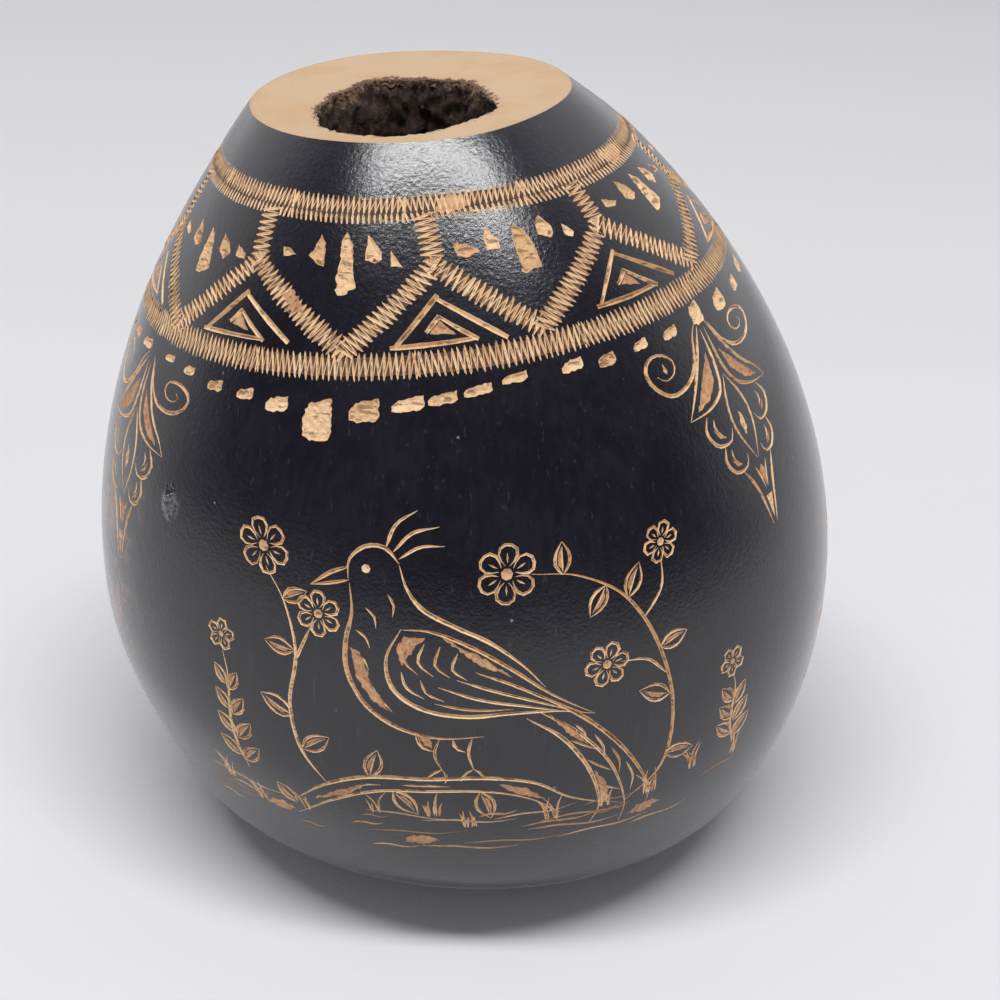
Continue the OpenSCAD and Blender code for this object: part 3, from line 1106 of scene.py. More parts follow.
    def dashes(self) -> None:
        """The row of scraped dashes under the lower band."""
        row = list(self.DASHES)
        az = 84.0
        while az < 360 - 56:
            u = 45.4 + 2.4 * (az - 84) / 220 + self.by(-0.4, 0.4)
            tall = 4.4 if abs(az % 120 - 104) < 4 else self.by(1.1, 2.1)
            row.append((az, u, self.by(2.6, 4.1), tall))
            az += self.by(6.6, 8.4)
        for az, u, wide, tall in row:
            w, h = wide / 2, tall / 2
            high = ((-w, -h * 0.7), (-w * 0.96, h * 0.1), (-w * 0.5, h * 0.8), (w * 0.3, h * 0.9), (w, h))
            low = ((w * 0.96, -h * 0.6), (w * 0.7, -h), (-w * 0.5, -h))
            self.carving.scoop(self.spot(az, u, turn=0.06), high + low, 0.4)

    def palmette(self, place: Place) -> None:
        """A scrolled leaf that hangs from the lower band, with scalloped sides and a long tip.

        Args:
            place: Where its top lies.
        """
        c = self.carving
        c.lines(place, self.PALMETTE)
        c.scoop(place, ((-11.0, -3.0), (-10.6, -2.0), (-10.3, -3.2), (-10.7, -3.6)), 0.3, Tone.WARM, 0.05)
        c.scoop(place, ((-0.9, -13.2), (-0.2, -14.2), (-0.1, -15.8), (-0.8, -16.8), (-1.3, -15.0)), 0.3)
        for patch in self.PALMETTE_BROWN:
            c.scoop(place, patch, 0.16, Tone.BROWN, 0.12)
        c.scoop(place, ((-1.0, -26.2), (0.7, -26.2), (-0.2, -29.8)), 0.34, Tone.PALE, 0.06)

    def leaf(self, place: Place, x: float, y: float, length: float, angle: float) -> None:
        """A pointed leaf with a midrib, one half rubbed brown.

        Args:
            place: The picture's grid.
            x: Where its stalk is, to the right.
            y: Where its stalk is, upwards.
            length: From the stalk to the tip.
            angle: Which way it points, in radians.
        """
        c, s = math.cos(angle), math.sin(angle)

        def at(a: float, b: float) -> tuple[float, float]:
            """A spot given along and across the leaf, in shares of its length."""
            return x + length * (a * c - b * s), y + length * (a * s + b * c)

        self.carving.line(place, (at(0, 0), at(0.3, 0.22), at(0.65, 0.2), at(1, 0)), 0.48)
        self.carving.line(place, (at(0, 0), at(0.28, -0.2), at(0.62, -0.22), at(1, 0)), 0.48)
        self.carving.line(place, (at(0.08, 0), at(0.5, 0.02), at(0.86, 0)), 0.32)
        half = (at(0.2, 0.05), at(0.55, 0.06), at(0.84, 0.03), at(0.55, 0.14), at(0.3, 0.14))
        self.carving.scoop(place, half, 0.12, Tone.BROWN, 0.06)

    def blossom(self, place: Place, x: float, y: float, size: float, petals: int = 6) -> None:
        """An open flower with rounded petals and a brown eye.

        Args:
            place: The picture's grid.
            x: Where its middle is, to the right.
            y: Where its middle is, upwards.
            size: Its radius.
            petals: How many petals it has.
        """
        turn = self.by(0, 1)
        w = math.pi / petals
        petal = [(r, off * w) for r, off in self.PETAL]
        for i in range(petals):
            a = turn + math.tau * i / petals
            for width, line in ((0.46, petal), (0.3, ((0.4, 0), (0.74, 0.05)))):
                spots = [(size * r * math.cos(a + off), size * r * math.sin(a + off)) for r, off in line]
                self.carving.line(place, [(x + right, y + up) for right, up in spots], width)
        self.carving.scoop(place, dot(x, y, 0.22 * size), 0.3, Tone.WARM, 0.05)

    def bird(self, place: Place) -> None:
        """A crested bird perched on a flowering bough.

        Args:
            place: The picture's grid.
        """
        c = self.carving
        c.lines(place, self.BIRD)
        c.lines(place, self.BOUGH)
        c.scoop(place, dot(-10.1, 17.9, 0.62), 0.3, Tone.PALE, 0.03)
        for patch in self.BIRD_BROWN:
            c.scoop(place, patch, 0.14, Tone.BROWN, 0.16)
        for blossom in self.BLOSSOMS:
            self.blossom(place, *blossom)
        for leaf in self.LEAVES:
            self.leaf(place, *leaf)

    def plant(self, place: Place, tall: float) -> None:
        """A small upright plant with paired leaves and a flower on top.

        Args:
            place: Where its middle lies.
            tall: Its height.
        """
        stem = ((0.6, -tall / 2), (-0.4, -tall / 6), (0.5, tall / 5), (0.0, tall / 2 - 2))
        self.carving.line(place, stem, 0.5)
        pairs = int(tall / 4.5)
        for i in range(pairs):
            y = -tall / 2 + 1.5 + i * (tall - 6) / pairs
            self.leaf(place, 0.2, y, 4.6 - 0.3 * i, 0.7 + 0.1 * i)
            self.leaf(place, 0.0, y + 0.8, 4.4 - 0.3 * i, math.pi - 0.75 - 0.1 * i)
        self.blossom(place, 0.0, tall / 2, 2.2, 5)

    def ground(self, middle: float) -> None:
        """Long loose strokes of ground with tufts of grass, across one panel.

        Args:
            middle: The panel's angle, in degrees.
        """
        for _ in range(26):
            az = middle + self.by(-42, 44)
            u = -17.5 - 0.07 * (az - middle) + self.by(-5.5, 3.5)
            long = self.by(4, 15)
            place = self.spot(az, u, turn=self.by(-0.16, 0.1))
            tone = self.chance.choice((Tone.PALE, Tone.PALE, Tone.WARM, Tone.BROWN))
            stroke = ((-long / 2, 0), (-long / 6, 0.35), (long / 5, -0.2), (long / 2, 0.2))
            self.carving.line(place, stroke, self.by(0.28, 0.46), tone)
        for i in range(11):
            az = middle - 41 + 8.4 * i + self.by(-2, 2)
            place = self.spot(az, -13.6 - 0.5 * i + self.by(-2, 2))
            for _ in range(self.chance.randrange(4, 8)):
                lean = self.by(-0.9, 0.9)
                high = self.by(2.0, 5.0)
                foot = self.by(-1.0, 1.0)
                blade = ((foot, 0), (foot + lean * 0.5, high * 0.6), (foot + lean * high * 0.5, high))
                self.carving.line(place, blade, self.by(0.3, 0.46))
        stone = ((-2.6, -0.7), (0.4, -1.1), (2.8, -0.3), (1.4, 0.9), (-1.2, 0.8))
        for aside, u in ((-31, -15.5), (-9, -19.5), (25, -20.5)):
            self.carving.scoop(self.spot(middle + aside, u), stone, 0.12, Tone.BROWN, 0.35)

    def carve(self) -> None:
        """Cut the whole pattern."""
        self.bands()
        self.cells()
        self.dashes()
        for az, u in self.PALMETTES:
            self.palmette(self.spot(az, u))
        for middle, u in self.PANELS:
            self.bird(self.spot(middle, u))
            self.ground(middle)
        for az, u, tall in self.PLANTS:
            self.plant(self.spot(az, u), tall)
        LOG.info("cuts laid out: %d", len(self.carving.cuts))


def make_piece(
    name: str,
    points: np.ndarray,
    faces: np.ndarray,
    finish: bpy.types.Material,
    normals: np.ndarray | None = None,
    paint: np.ndarray | None = None,
    smooth: bool = True,
) -> bpy.types.Object:
    """Make a plain mesh piece at the origin.

    Args:
        name: The piece's name.
        points: Its points in millimetres.
        faces: Its triangles, as rows of point numbers.
        finish: Its material.
        normals: A normal for each point, where the true surface is known.
        paint: Three numbers for each corner, kept in the attribute "cut".
        smooth: Whether its faces are shaded smooth.

    Returns:
        The new object.
    """
    used, packed = np.unique(faces, return_inverse=True)
    packed = packed.reshape(faces.shape)
    mesh = bpy.data.meshes.new(name)
    mesh.from_pydata((points[used] * MM).tolist(), [], packed.tolist())
    mesh.polygons.foreach_set("use_smooth", [smooth] * len(mesh.polygons))
    if paint is not None:
        colour = mesh.attributes.new("cut", "FLOAT_COLOR", "CORNER")
        colour.data.foreach_set("color", np.hstack([paint, np.ones((len(paint), 1))]).ravel())
    mesh.update()
    if normals is not None:
        mesh.normals_split_custom_set_from_vertices(normals[used].tolist())
    mesh.materials.append(finish)
    piece = bpy.data.objects.new(name, mesh)
    bpy.context.scene.collection.objects.link(piece)
    return piece


def inside(points: np.ndarray, outline: np.ndarray) -> np.ndarray:
    """Find the points that an outline winds round, even where it crosses itself.

    Args:
        points: Rows of x and y.
        outline: Its corners, in order.

    Returns:
        True or false for each point.
    """
    a = outline[None]
    b = np.roll(outline, -1, 0)[None]
    p = points[:, None]
    upward = (a[..., 1] <= p[..., 1]) & (b[..., 1] > p[..., 1])
    downward = (a[..., 1] > p[..., 1]) & (b[..., 1] <= p[..., 1])
    edge, off = b - a, p - a
    left = edge[..., 0] * off[..., 1] - off[..., 0] * edge[..., 1]
    return ((upward & (left > 0)).sum(1) - (downward & (left < 0)).sum(1)) != 0


def nearest_on(points: np.ndarray, chain: np.ndarray) -> tuple[np.ndarray, np.ndarray]:
    """Find the nearest spots on a chain of lines.

    Args:
        points: Rows of x and y.
        chain: The chain's points, in order.

    Returns:
        Each point's distance from the chain, and where on it that is, counted in the chain's points.
    """
    a, b = chain[:-1][None], chain[1:][None]
    ab = b - a
    share = np.clip(((points[:, None] - a) * ab).sum(-1) / np.maximum((ab**2).sum(-1), 1e-12), 0, 1)
    gap = np.linalg.norm(points[:, None] - a - ab * share[..., None], axis=-1)
    best = gap.argmin(1)
    each = np.arange(len(points))
    return gap[each, best], best + share[each, best]


@dataclass
class CarvedSkin:
    """The black skin as one sheet over the whole body, with the cuts sunk into it.

    The sheet is angle round the stem by length up the side, opened out with spread millimetres to a
    radian. One blister in the dye, given as angle in degrees and length, stands up from it.
    """

    form: GourdForm
    cuts: list[Cut]
    low_u: float = -34.0
    high_u: float = 78.0
    columns: int = 200
    rows: int = 57
    spread: float = 45.0
    mesh_step: float = 2.1
    patch_step: tuple[float, float] = (0.5, 0.45)
    patch_bank: float = 0.26
    foot_rows: int = 16
    rim_rows: int = 5
    shoulder_from: float = 43.5
    underside_to: float = -24.0
    blister: tuple[float, float] = (-44.5, 29.6)
    blister_radius: float = 57.0
    blister_reach: float = 3.6
    blister_step: float = 0.22
    blister_rise: float = 0.55
    pit_depth: float = 0.9

    def _flat(self, sheet: np.ndarray) -> np.ndarray:
        """Rows of angle and length, opened out flat."""
        return sheet * np.array([self.spread, 1.0])

    def _copies(self) -> list[Cut]:
        """Repeat the cuts that cross the sheet's joint at the back.

        Returns:
            All cuts, with a second copy of each of those, a whole turn away.
        """
        copies = []
        for cut in self.cuts:
            for shift in (-math.tau, 0.0, math.tau):
                az = cut.outline[:, 0] + shift
                if az.max() > -math.pi and az.min() < math.pi:
                    move = np.array([shift, 0.0])
                    copies.append(Cut(cut.outline + move, cut.spine + move, cut.half, cut.depth, cut.tone))
        return copies

    def _triangulate(self, copies: list[Cut]) -> tuple[np.ndarray, np.ndarray]:
        """Divide the sheet into triangles that follow every cut's edge and middle line.

        Args:
            copies: The cuts.

        Returns:
            Points as rows of angle and length, and triangles as rows of point numbers.
        """
        spots: list[np.ndarray] = []
        edges: list[tuple[int, int]] = []
        count = 0

        def chain(points: np.ndarray, closed: bool = False) -> None:
            """Add points that stay joined one to the next.

            Args:
                points: Rows of x and y.
                closed: Whether the last is joined to the first.
            """
            nonlocal count
            keep = np.concatenate([[True], np.hypot(*np.diff(points, axis=0).T) > 2e-3])
            points = points[keep]
            n = len(points)
            spots.append(points)
            edges.extend((count + i, count + i + 1) for i in range(n - 1))
            if closed:
                edges.append((count + n - 1, count))
            count += n

        across = np.linspace(-math.pi, math.pi, self.columns + 1)
        rows = np.linspace(self.low_u, self.high_u, self.rows)
        for u in (self.low_u, self.high_u):
            chain(self._flat(np.stack([across, np.full_like(across, u)], -1)))
        for az in (-math.pi, math.pi):
            chain(self._flat(np.stack([np.full_like(rows, az), rows], -1)))
        for j, u in enumerate(rows[1:-1]):
            n = int(max(90, math.tau * float(self.form.radius(u)) / self.mesh_step))
            az = -math.pi + math.tau * (np.arange(n) + 0.5 + 0.5 * (j % 2)) / n
            az = az[np.abs(az) < math.pi - 0.02]
            spots.append(self._flat(np.stack([az, np.full_like(az, u)], -1)))
            count += len(az)
        chance = np.random.default_rng(5)
        for cut in copies:
            outline = self._flat(cut.outline)
            chain(outline, closed=True)
            if len(cut.spine):
                chain(self._flat(cut.spine))
                continue
            grid = even_grid(outline.min(0), outline.max(0), self.patch_step)
            grid = grid + chance.uniform(-0.2, 0.2, grid.shape)
            grid = grid[inside(grid, outline)] if len(grid) else grid
            if len(grid):
                gap, _ = nearest_on(grid, np.vstack([outline, outline[:1]]))
                grid = grid[gap > 0.14]
                spots.append(grid)
                count += len(grid)
        grid = even_grid((-2.8, -3.4), (2.8, 3.4), (self.blister_step, self.blister_step))
        there = self._flat(np.array([math.radians(self.blister[0]), self.blister[1]]))
        spots.append(grid * np.array([self.spread / self.blister_radius, 1.0]) + there)
        flat, triangles = divide(np.vstack(spots), edges)
        points = flat / np.array([self.spread, 1.0])
        az, u = points[triangles].mean(1).T
        return points, triangles[(np.abs(az) < math.pi) & (u > self.low_u) & (u < self.high_u)]

    def _sink(self, cut: Cut, spots: np.ndarray) -> np.ndarray:
        """Work out how deep a cut goes.

        Args:
            cut: The cut.
            spots: Places in it, as rows of angle and length.

        Returns:
            A depth for each place.
        """
        scale = np.array([float(self.form.radius(cut.outline[:, 1].mean())), 1.0])
        here = spots * scale
        if len(cut.spine):
            gap, at = nearest_on(here, cut.spine * scale)
            half = np.interp(at, np.arange(len(cut.half)), cut.half)
            return cut.depth * half / cut.half.max() * np.clip(1 - gap / np.maximum(half, 1e-3), 0, 1)
        gap, _ = nearest_on(here, np.vstack([cut.outline, cut.outline[:1]]) * scale)
        rough = np.array([noise.noise(Vector((x * 0.9, y * 3.4, cut.tone))) for x, y in here])
        return cut.depth * np.clip(gap / self.patch_bank, 0, 1) * (0.8 + 0.9 * rough)

    def build(self) -> None:
        """Work out every point, triangle, depth and colour of the sheet and of the plain strips beyond it."""
        copies = self._copies()
        points, triangles = self._triangulate(copies)
        middle = points[triangles].mean(1)
        depth = np.zeros(len(points))
        owner = np.full(len(triangles), -1)
        order = np.argsort(middle[:, 1])
        sorted_u = middle[order, 1]
        for number, cut in enumerate(copies):
            low, high = cut.outline.min(0), cut.outline.max(0)
            near = order[np.searchsorted(sorted_u, low[1]) : np.searchsorted(sorted_u, high[1])]
            near = near[(middle[near, 0] > low[0]) & (middle[near, 0] < high[0])]
            if not len(near):
                continue
            hit = near[inside(middle[near], cut.outline)]
            owner[hit] = number
            spots = np.unique(triangles[hit])
            if len(spots):
                depth[spots] = np.maximum(depth[spots], self._sink(cut, points[spots]))
        depth[np.unique(triangles[owner < 0])] = 0.0
        self.tone = np.array([c.tone for c in copies] + [0.0])[owner]
        self.luck = np.random.default_rng(3).uniform(0, 1, len(copies) + 1)[owner]
        self._join(points, triangles, depth, owner)

    def _join(self, points: np.ndarray, triangles: np.ndarray, depth: np.ndarray, owner: np.ndarray) -> None:
        """Close the joint at the back and add the strips up to the saw cut and down to the foot.

        Args:
            points: The sheet's points, as rows of angle and length.
            triangles: Its triangles.
            depth: How far each point is sunk.
            owner: The number of the cut that each triangle lies in, or -1.
        """
        n = len(points)
        across = np.linspace(-math.pi, math.pi, self.columns + 1)[:-1]
        self.rim = self.form.rim_u(across)
        self.foot = self._foot_u(across)
        up = np.linspace(0, 1, self.rim_rows + 1)[:, None]
        upper = self.high_u + (self.rim - self.high_u) * up
        down = np.linspace(0, 1, self.foot_rows + 1)[:, None] ** 0.9
        lower = self.low_u + (self.foot - self.low_u) * down
        strips = [np.stack([np.tile(across, len(s)), s.ravel()], -1) for s in (upper, lower)]
        whole = np.vstack([points] + strips)
        number = np.arange(n)
        column = np.round((points[:, 0] + math.pi) / math.tau * self.columns).astype(int) % self.columns
        top = np.abs(points[:, 1] - self.high_u) < 1e-4
        bottom = np.abs(points[:, 1] - self.low_u) < 1e-4
        first_low = n + len(strips[0])
        number[top] = n + column[top]
        number[bottom] = first_low + column[bottom]
        left = np.nonzero(np.abs(points[:, 0] + math.pi) < 2e-5)[0]
        right = np.nonzero(np.abs(points[:, 0] - math.pi) < 2e-5)[0]
        for spot in right:
            if top[spot] or bottom[spot]:
                continue
            twin = left[np.abs(points[left, 1] - points[spot, 1]).argmin()]
            if abs(points[twin, 1] - points[spot, 1]) < 6e-3:
                number[spot] = twin
        faces = [number[triangles]]
        faces += joined_rings(n, self.rim_rows, self.columns)
        faces += joined_rings(first_low, self.foot_rows, self.columns, turned=True)
        extra = sum(len(f) for f in faces[1:])
        faces = np.vstack(faces)
        whole_ones = (faces != np.roll(faces, 1, 1)).all(1)
        self.faces = faces[whole_ones]
        self.is_cut = np.concatenate([owner >= 0, np.zeros(extra, bool)])[whole_ones]
        self.tone = np.concatenate([self.tone, np.zeros(extra)])[whole_ones]
        self.luck = np.concatenate([self.luck, np.zeros(extra)])[whole_ones]
        self.depth = np.concatenate([depth, np.zeros(len(whole) - n)])
        self.u = whole[:, 1]
        self.normals = self.form.normals(whole[:, 0], whole[:, 1])
        self.points = self.form.skin(whole[:, 0], whole[:, 1]) - self.normals * self.depth[:, None]
        near = np.nonzero(np.hypot(*self._from_blister(whole[:, 0], whole[:, 1])) < self.blister_reach)[0]
        az, u = whole[near].T
        turn, step = 0.002, 0.11
        self.points[near] = self._raised(az, u)
        east = self._raised(az + turn, u) - self.points[near]
        north = self._raised(az, u + step) - self.points[near]
        tilted = np.cross(east, north)
        self.normals[near] = tilted / np.linalg.norm(tilted, axis=1)[:, None]

    def _from_blister(self, az: np.ndarray, u: np.ndarray) -> tuple[np.ndarray, np.ndarray]:
        """Millimetres to the right of the blister and above it."""
        return (az - math.radians(self.blister[0])) * self.blister_radius, u - self.blister[1]

    def _raised(self, az: np.ndarray, u: np.ndarray) -> np.ndarray:
        """Raise the skin in the blister, and sink it in the pit where that has broken.

        Args:
            az: Angles round the stem, in radians.
            u: Lengths up the side.

        Returns:
            Places in the part's frame.
        """
        x, y = self._from_blister(az, u)
        rough = np.array([noise.fractal(Vector((a * 0.8, b * 0.8, 2.0)), 0.8, 2.1, 3) for a, b in zip(x, y)])
        dome = np.clip(1.1 - np.hypot(x / 1.7, (y + 0.5) / 2.3) + 0.25 * rough, 0, 1)
        pit = np.clip(1.25 - np.hypot((x + 0.25) / 0.85, (y - 1.0) / 0.9) + 0.2 * rough, 0, 1)
        rise = self.blister_rise * dome**0.7 * (1 + 0.6 * rough) - self.pit_depth * pit
        return self.form.skin(az, u) + self.form.normals(az, u) * rise[:, None]

    def _foot_u(self, az: np.ndarray) -> np.ndarray:
        """Find where the flat foot starts.

        Args:
            az: Angles round the stem, in radians.

        Returns:
            Lengths up the side, below 0.
        """
        low, high = np.full(len(az), self.form.side_u[0] + 1.0), np.full(len(az), self.low_u)
        return close_in(low, high, 26, lambda u: self.form.skin(az, u)[:, 2] >= 0.02)[1]

    def pieces(self, black: bpy.types.Material, pale: bpy.types.Material) -> list[bpy.types.Object]:
        """Make the skin's and the cuts' pieces, split by height.

        Args:
            black: The skin's material.
            pale: The material of the cuts.

        Returns:
            The pieces, from the top down.
        """
        level = self.u[self.faces].mean(1)
        top, bottom = self.shoulder_from, self.underside_to
        made = []
        for name, low, high in (
            ("skin_shoulder", top, math.inf),
            ("skin_belly", bottom, top),
            ("skin_underside", -math.inf, bottom),
        ):
            chosen = ~self.is_cut & (level > low) & (level <= high)
            made.append(make_piece(name, self.points, self.faces[chosen], black, self.normals))
        for name, low, high in (("cuts_shoulder", top, math.inf), ("cuts_belly", -math.inf, top)):
            chosen = self.is_cut & (level > low) & (level <= high)
            faces = self.faces[chosen]
            tone, luck = np.repeat(self.tone[chosen], 3), np.repeat(self.luck[chosen], 3)
            paint = np.stack([tone, luck, self.depth[faces].ravel() * 2], -1)
            made.append(make_piece(name, self.points, faces, pale, None, paint, smooth=False))
        return made


@dataclass
class SawnMouth:
    """The sawn face, the ragged hole through it and the pith that lines the hollow.

    The hole's edge is given as angles from the right, turning to the back, and radii.
    """

    form: GourdForm
    front: float = 5.1
    left: float = 0.9
    inner_points: int = 560
    face_step: float = 0.8
    crumbling: float = 1.8
    ring_points: int = 300
    wall_inside: float = 7.3
    hole_depths: tuple[float, ...] = (
        0.25, 0.5, 0.8, 1.2, 1.6, 2.1, 2.6, 3.2, 3.8, 4.5, 5.2, 6.0, 6.8, 7.6, 8.6
    )
    broken: Points = (
        (0, 12.2), (17, 11.6), (40, 11.7), (66, 10.7), (83, 11.3), (97, 12), (116, 12.8), (131, 10.8),
        (145, 11.5), (161, 10.5), (183, 11.4), (205, 12), (222, 13.6), (248, 14.4), (270, 15.6),
        (286, 16.2), (297, 15.5), (321, 15.1), (334, 15.5), (350, 13.6), (360, 12.2),
    )

    def edge(self, angle: float, salt: float = 0.0) -> float:
        """Radius of the ragged hole.

        Args:
            angle: An angle round its middle, in radians.
            salt: Picks another ragged edge of the same breadth.

        Returns:
            The radius there.
        """
        c, s = math.cos(angle), math.sin(angle)
        table = np.array(self.broken)
        base = float(np.interp(math.degrees(angle) % 360, table[:, 0], table[:, 1]))
        ragged = 0.35 + 0.65 * max(0.0, s)
        middle = noise.noise(Vector((c * 5.5, s * 5.5, 8.4 + salt)))
        fine = noise.noise(Vector((c * 17, s * 17, 1.7 + salt)))
        finest = noise.noise(Vector((c * 41, s * 41, 4.2 + salt)))
        return base + ragged * (0.45 * middle + 0.4 * fine + 0.34 * finest)

    def _around(self, angles: np.ndarray, radii: np.ndarray) -> np.ndarray:
        """Places in the stem's frame round the hole's middle."""
        return np.stack([-self.left + radii * np.cos(angles), -self.front + radii * np.sin(angles)], -1)

    def face(self, skin: CarvedSkin, finish: bpy.types.Material) -> bpy.types.Object:
        """The flat sawn and sanded face, from the skin's edge to the ragged hole.

        Args:
            skin: The skin that it joins.
            finish: Its material.

        Returns:
            The piece.
        """
        az = np.linspace(-math.pi, math.pi, skin.columns + 1)[:-1]
        r = self.form.radius(skin.rim) + self.form.swell(az, skin.rim)
        outer = np.stack([r * np.sin(az), -r * np.cos(az)], -1)
        turns = np.linspace(0, math.tau, self.inner_points, endpoint=False)
        radii = np.array([self.edge(a) for a in turns])
        inner = self._around(turns, radii)
        grid = even_grid((-24, -24), (24, 24), (self.face_step, self.face_step))
        grid = grid + np.random.default_rng(11).uniform(-0.2, 0.2, grid.shape)
        rings = [self._around(turns[::2], radii[::2] + off) for off in (0.25, 0.6, 1.1)]
        grid = np.vstack([grid] + rings)
        gap_out, _ = nearest_on(grid, np.vstack([outer, outer[:1]]))
        grid = grid[inside(grid, outer) & ~inside(grid, inner) & (gap_out > 0.3)]
        a, b = len(outer), len(inner)
        edges = [(i, (i + 1) % a) for i in range(a)] + [(a + i, a + (i + 1) % b) for i in range(b)]
        spots, triangles = divide(np.vstack([outer, inner, grid]), edges)
        middle = spots[triangles].mean(1)
        triangles = triangles[inside(middle, outer) & ~inside(middle, inner)]
        gap, _ = nearest_on(spots, np.vstack([inner, inner[:1]]))
        rim_gap, _ = nearest_on(spots, np.vstack([outer, outer[:1]]))
        bumps = np.array([noise.noise(Vector((x * 0.9, y * 0.9, 5.0))) for x, y in spots])
        near = np.clip(1 - gap / self.crumbling, 0, 1)
        back = np.clip((spots[:, 1] + self.front) / 8, -0.6, 1)
        worn = near**2 * (0.45 + 0.4 * back) * (1 + np.maximum(bumps, -0.6))
        drop = 0.04 * (1 + bumps) * (rim_gap > 0.05) + worn
        drop[rim_gap < 0.02] = 0.0
        points = self.form.saw_plane(spots[:, 0], spots[:, 1], drop)
        rim = np.clip(1 - rim_gap / 1.5, 0, 1)
        shade = np.stack([near * (0.62 + 0.4 * back), rim, np.zeros(len(near))], -1)
        return make_piece("mouth_face", points, triangles, finish, None, shade[triangles].reshape(-1, 3))

    def lining(self, finish: bpy.types.Material) -> bpy.types.Object:
        """The dark pith: down the hole, out under the neck's roof and round the hollow to its floor.

        Args:
            finish: Its material.

        Returns:
            The piece.
        """
        k = self.ring_points
        turns = np.linspace(0, math.tau, k, endpoint=False)
        rings = []
        for depth in self.hole_depths:
            radii = []
            for a in turns:
                c, s = math.cos(a), math.sin(a)
                crumble = noise.fractal(Vector((c * 6.4, s * 6.4, depth * 0.55)), 0.7, 2.1, 5)
                lump = max(0.0, 0.5 + 1.1 * noise.noise(Vector((c * 2.6, s * 2.6, 7.7))))
                inward = max(0.0, s + 0.15) * min(depth, 4.0) * 0.62 * lump
                gap = 0.15 + 0.05 * depth - inward + 0.8 * crumble * min(1, 0.25 + depth / 2)
                radii.append(self.edge(a, depth * 0.16) + gap)
            flat = self._around(turns, np.array(radii))
            rings.append(self.form.saw_plane(flat[:, 0], flat[:, 1], depth))
        there = self._around(turns, np.full(k, 13.0))
        az = np.unwrap(np.arctan2(there[:, 0], -there[:, 1]))
        floor_u = self.form.side_u[0] + 1.5
        runs = [np.linspace(69.0, 40.0, 14), np.linspace(36.0, -30.0, 18), np.linspace(-36.0, floor_u, 9)]
        for u in np.concatenate(runs):
            spots = self.form.skin(az, np.full(k, float(u)))
            n = self.form.normals(az, np.full(k, float(u)))
            lumps = np.array([noise.fractal(Vector(p) * 0.16, 0.8, 2.0, 4) for p in spots])
            rings.append(spots - n * (self.wall_inside + 0.6 * lumps)[:, None])
        points = np.vstack(rings + [rings[-1].mean(0)])
        last = (len(rings) - 1) * k
        faces = joined_rings(0, len(rings) - 1, k)
        around = np.arange(k)
        faces.append(np.stack([last + around, last + (around + 1) % k, np.full(k, len(points) - 1)], -1))
        faces = np.vstack(faces)
        below = np.concatenate([np.full(k, 1 - min(1.0, r / 13)) for r in range(len(rings))] + [[0.0]])
        shade = np.stack([below, below, below], -1)[faces].reshape(-1, 3)
        return make_piece("pith_lining_crumbled", points, faces, finish, None, shade)

    def foot(self, skin: CarvedSkin, finish: bpy.types.Material) -> bpy.types.Object:
        """The worn flat foot, where the skin is rubbed through to the wall.

        Args:
            skin: The skin that it joins.
            finish: Its material.

        Returns:
            The piece.
        """
        k = skin.columns
        ring = skin.points[-k:]
        middle = ring.mean(0)
        rings = [middle + (ring - middle) * share for share in (1, 0.8, 0.6, 0.4, 0.2)]
        last = (len(rings) - 1) * k
        around = np.arange(k)
        heart = np.stack([last + around, np.full(k, last + k), last + (around + 1) % k], -1)
        faces = np.vstack(joined_rings(0, len(rings) - 1, k, turned=True) + [heart])
        shade = np.zeros((len(faces) * 3, 3))
        return make_piece("foot_worn", np.vstack(rings + [middle[None]]), faces, finish, None, shade)


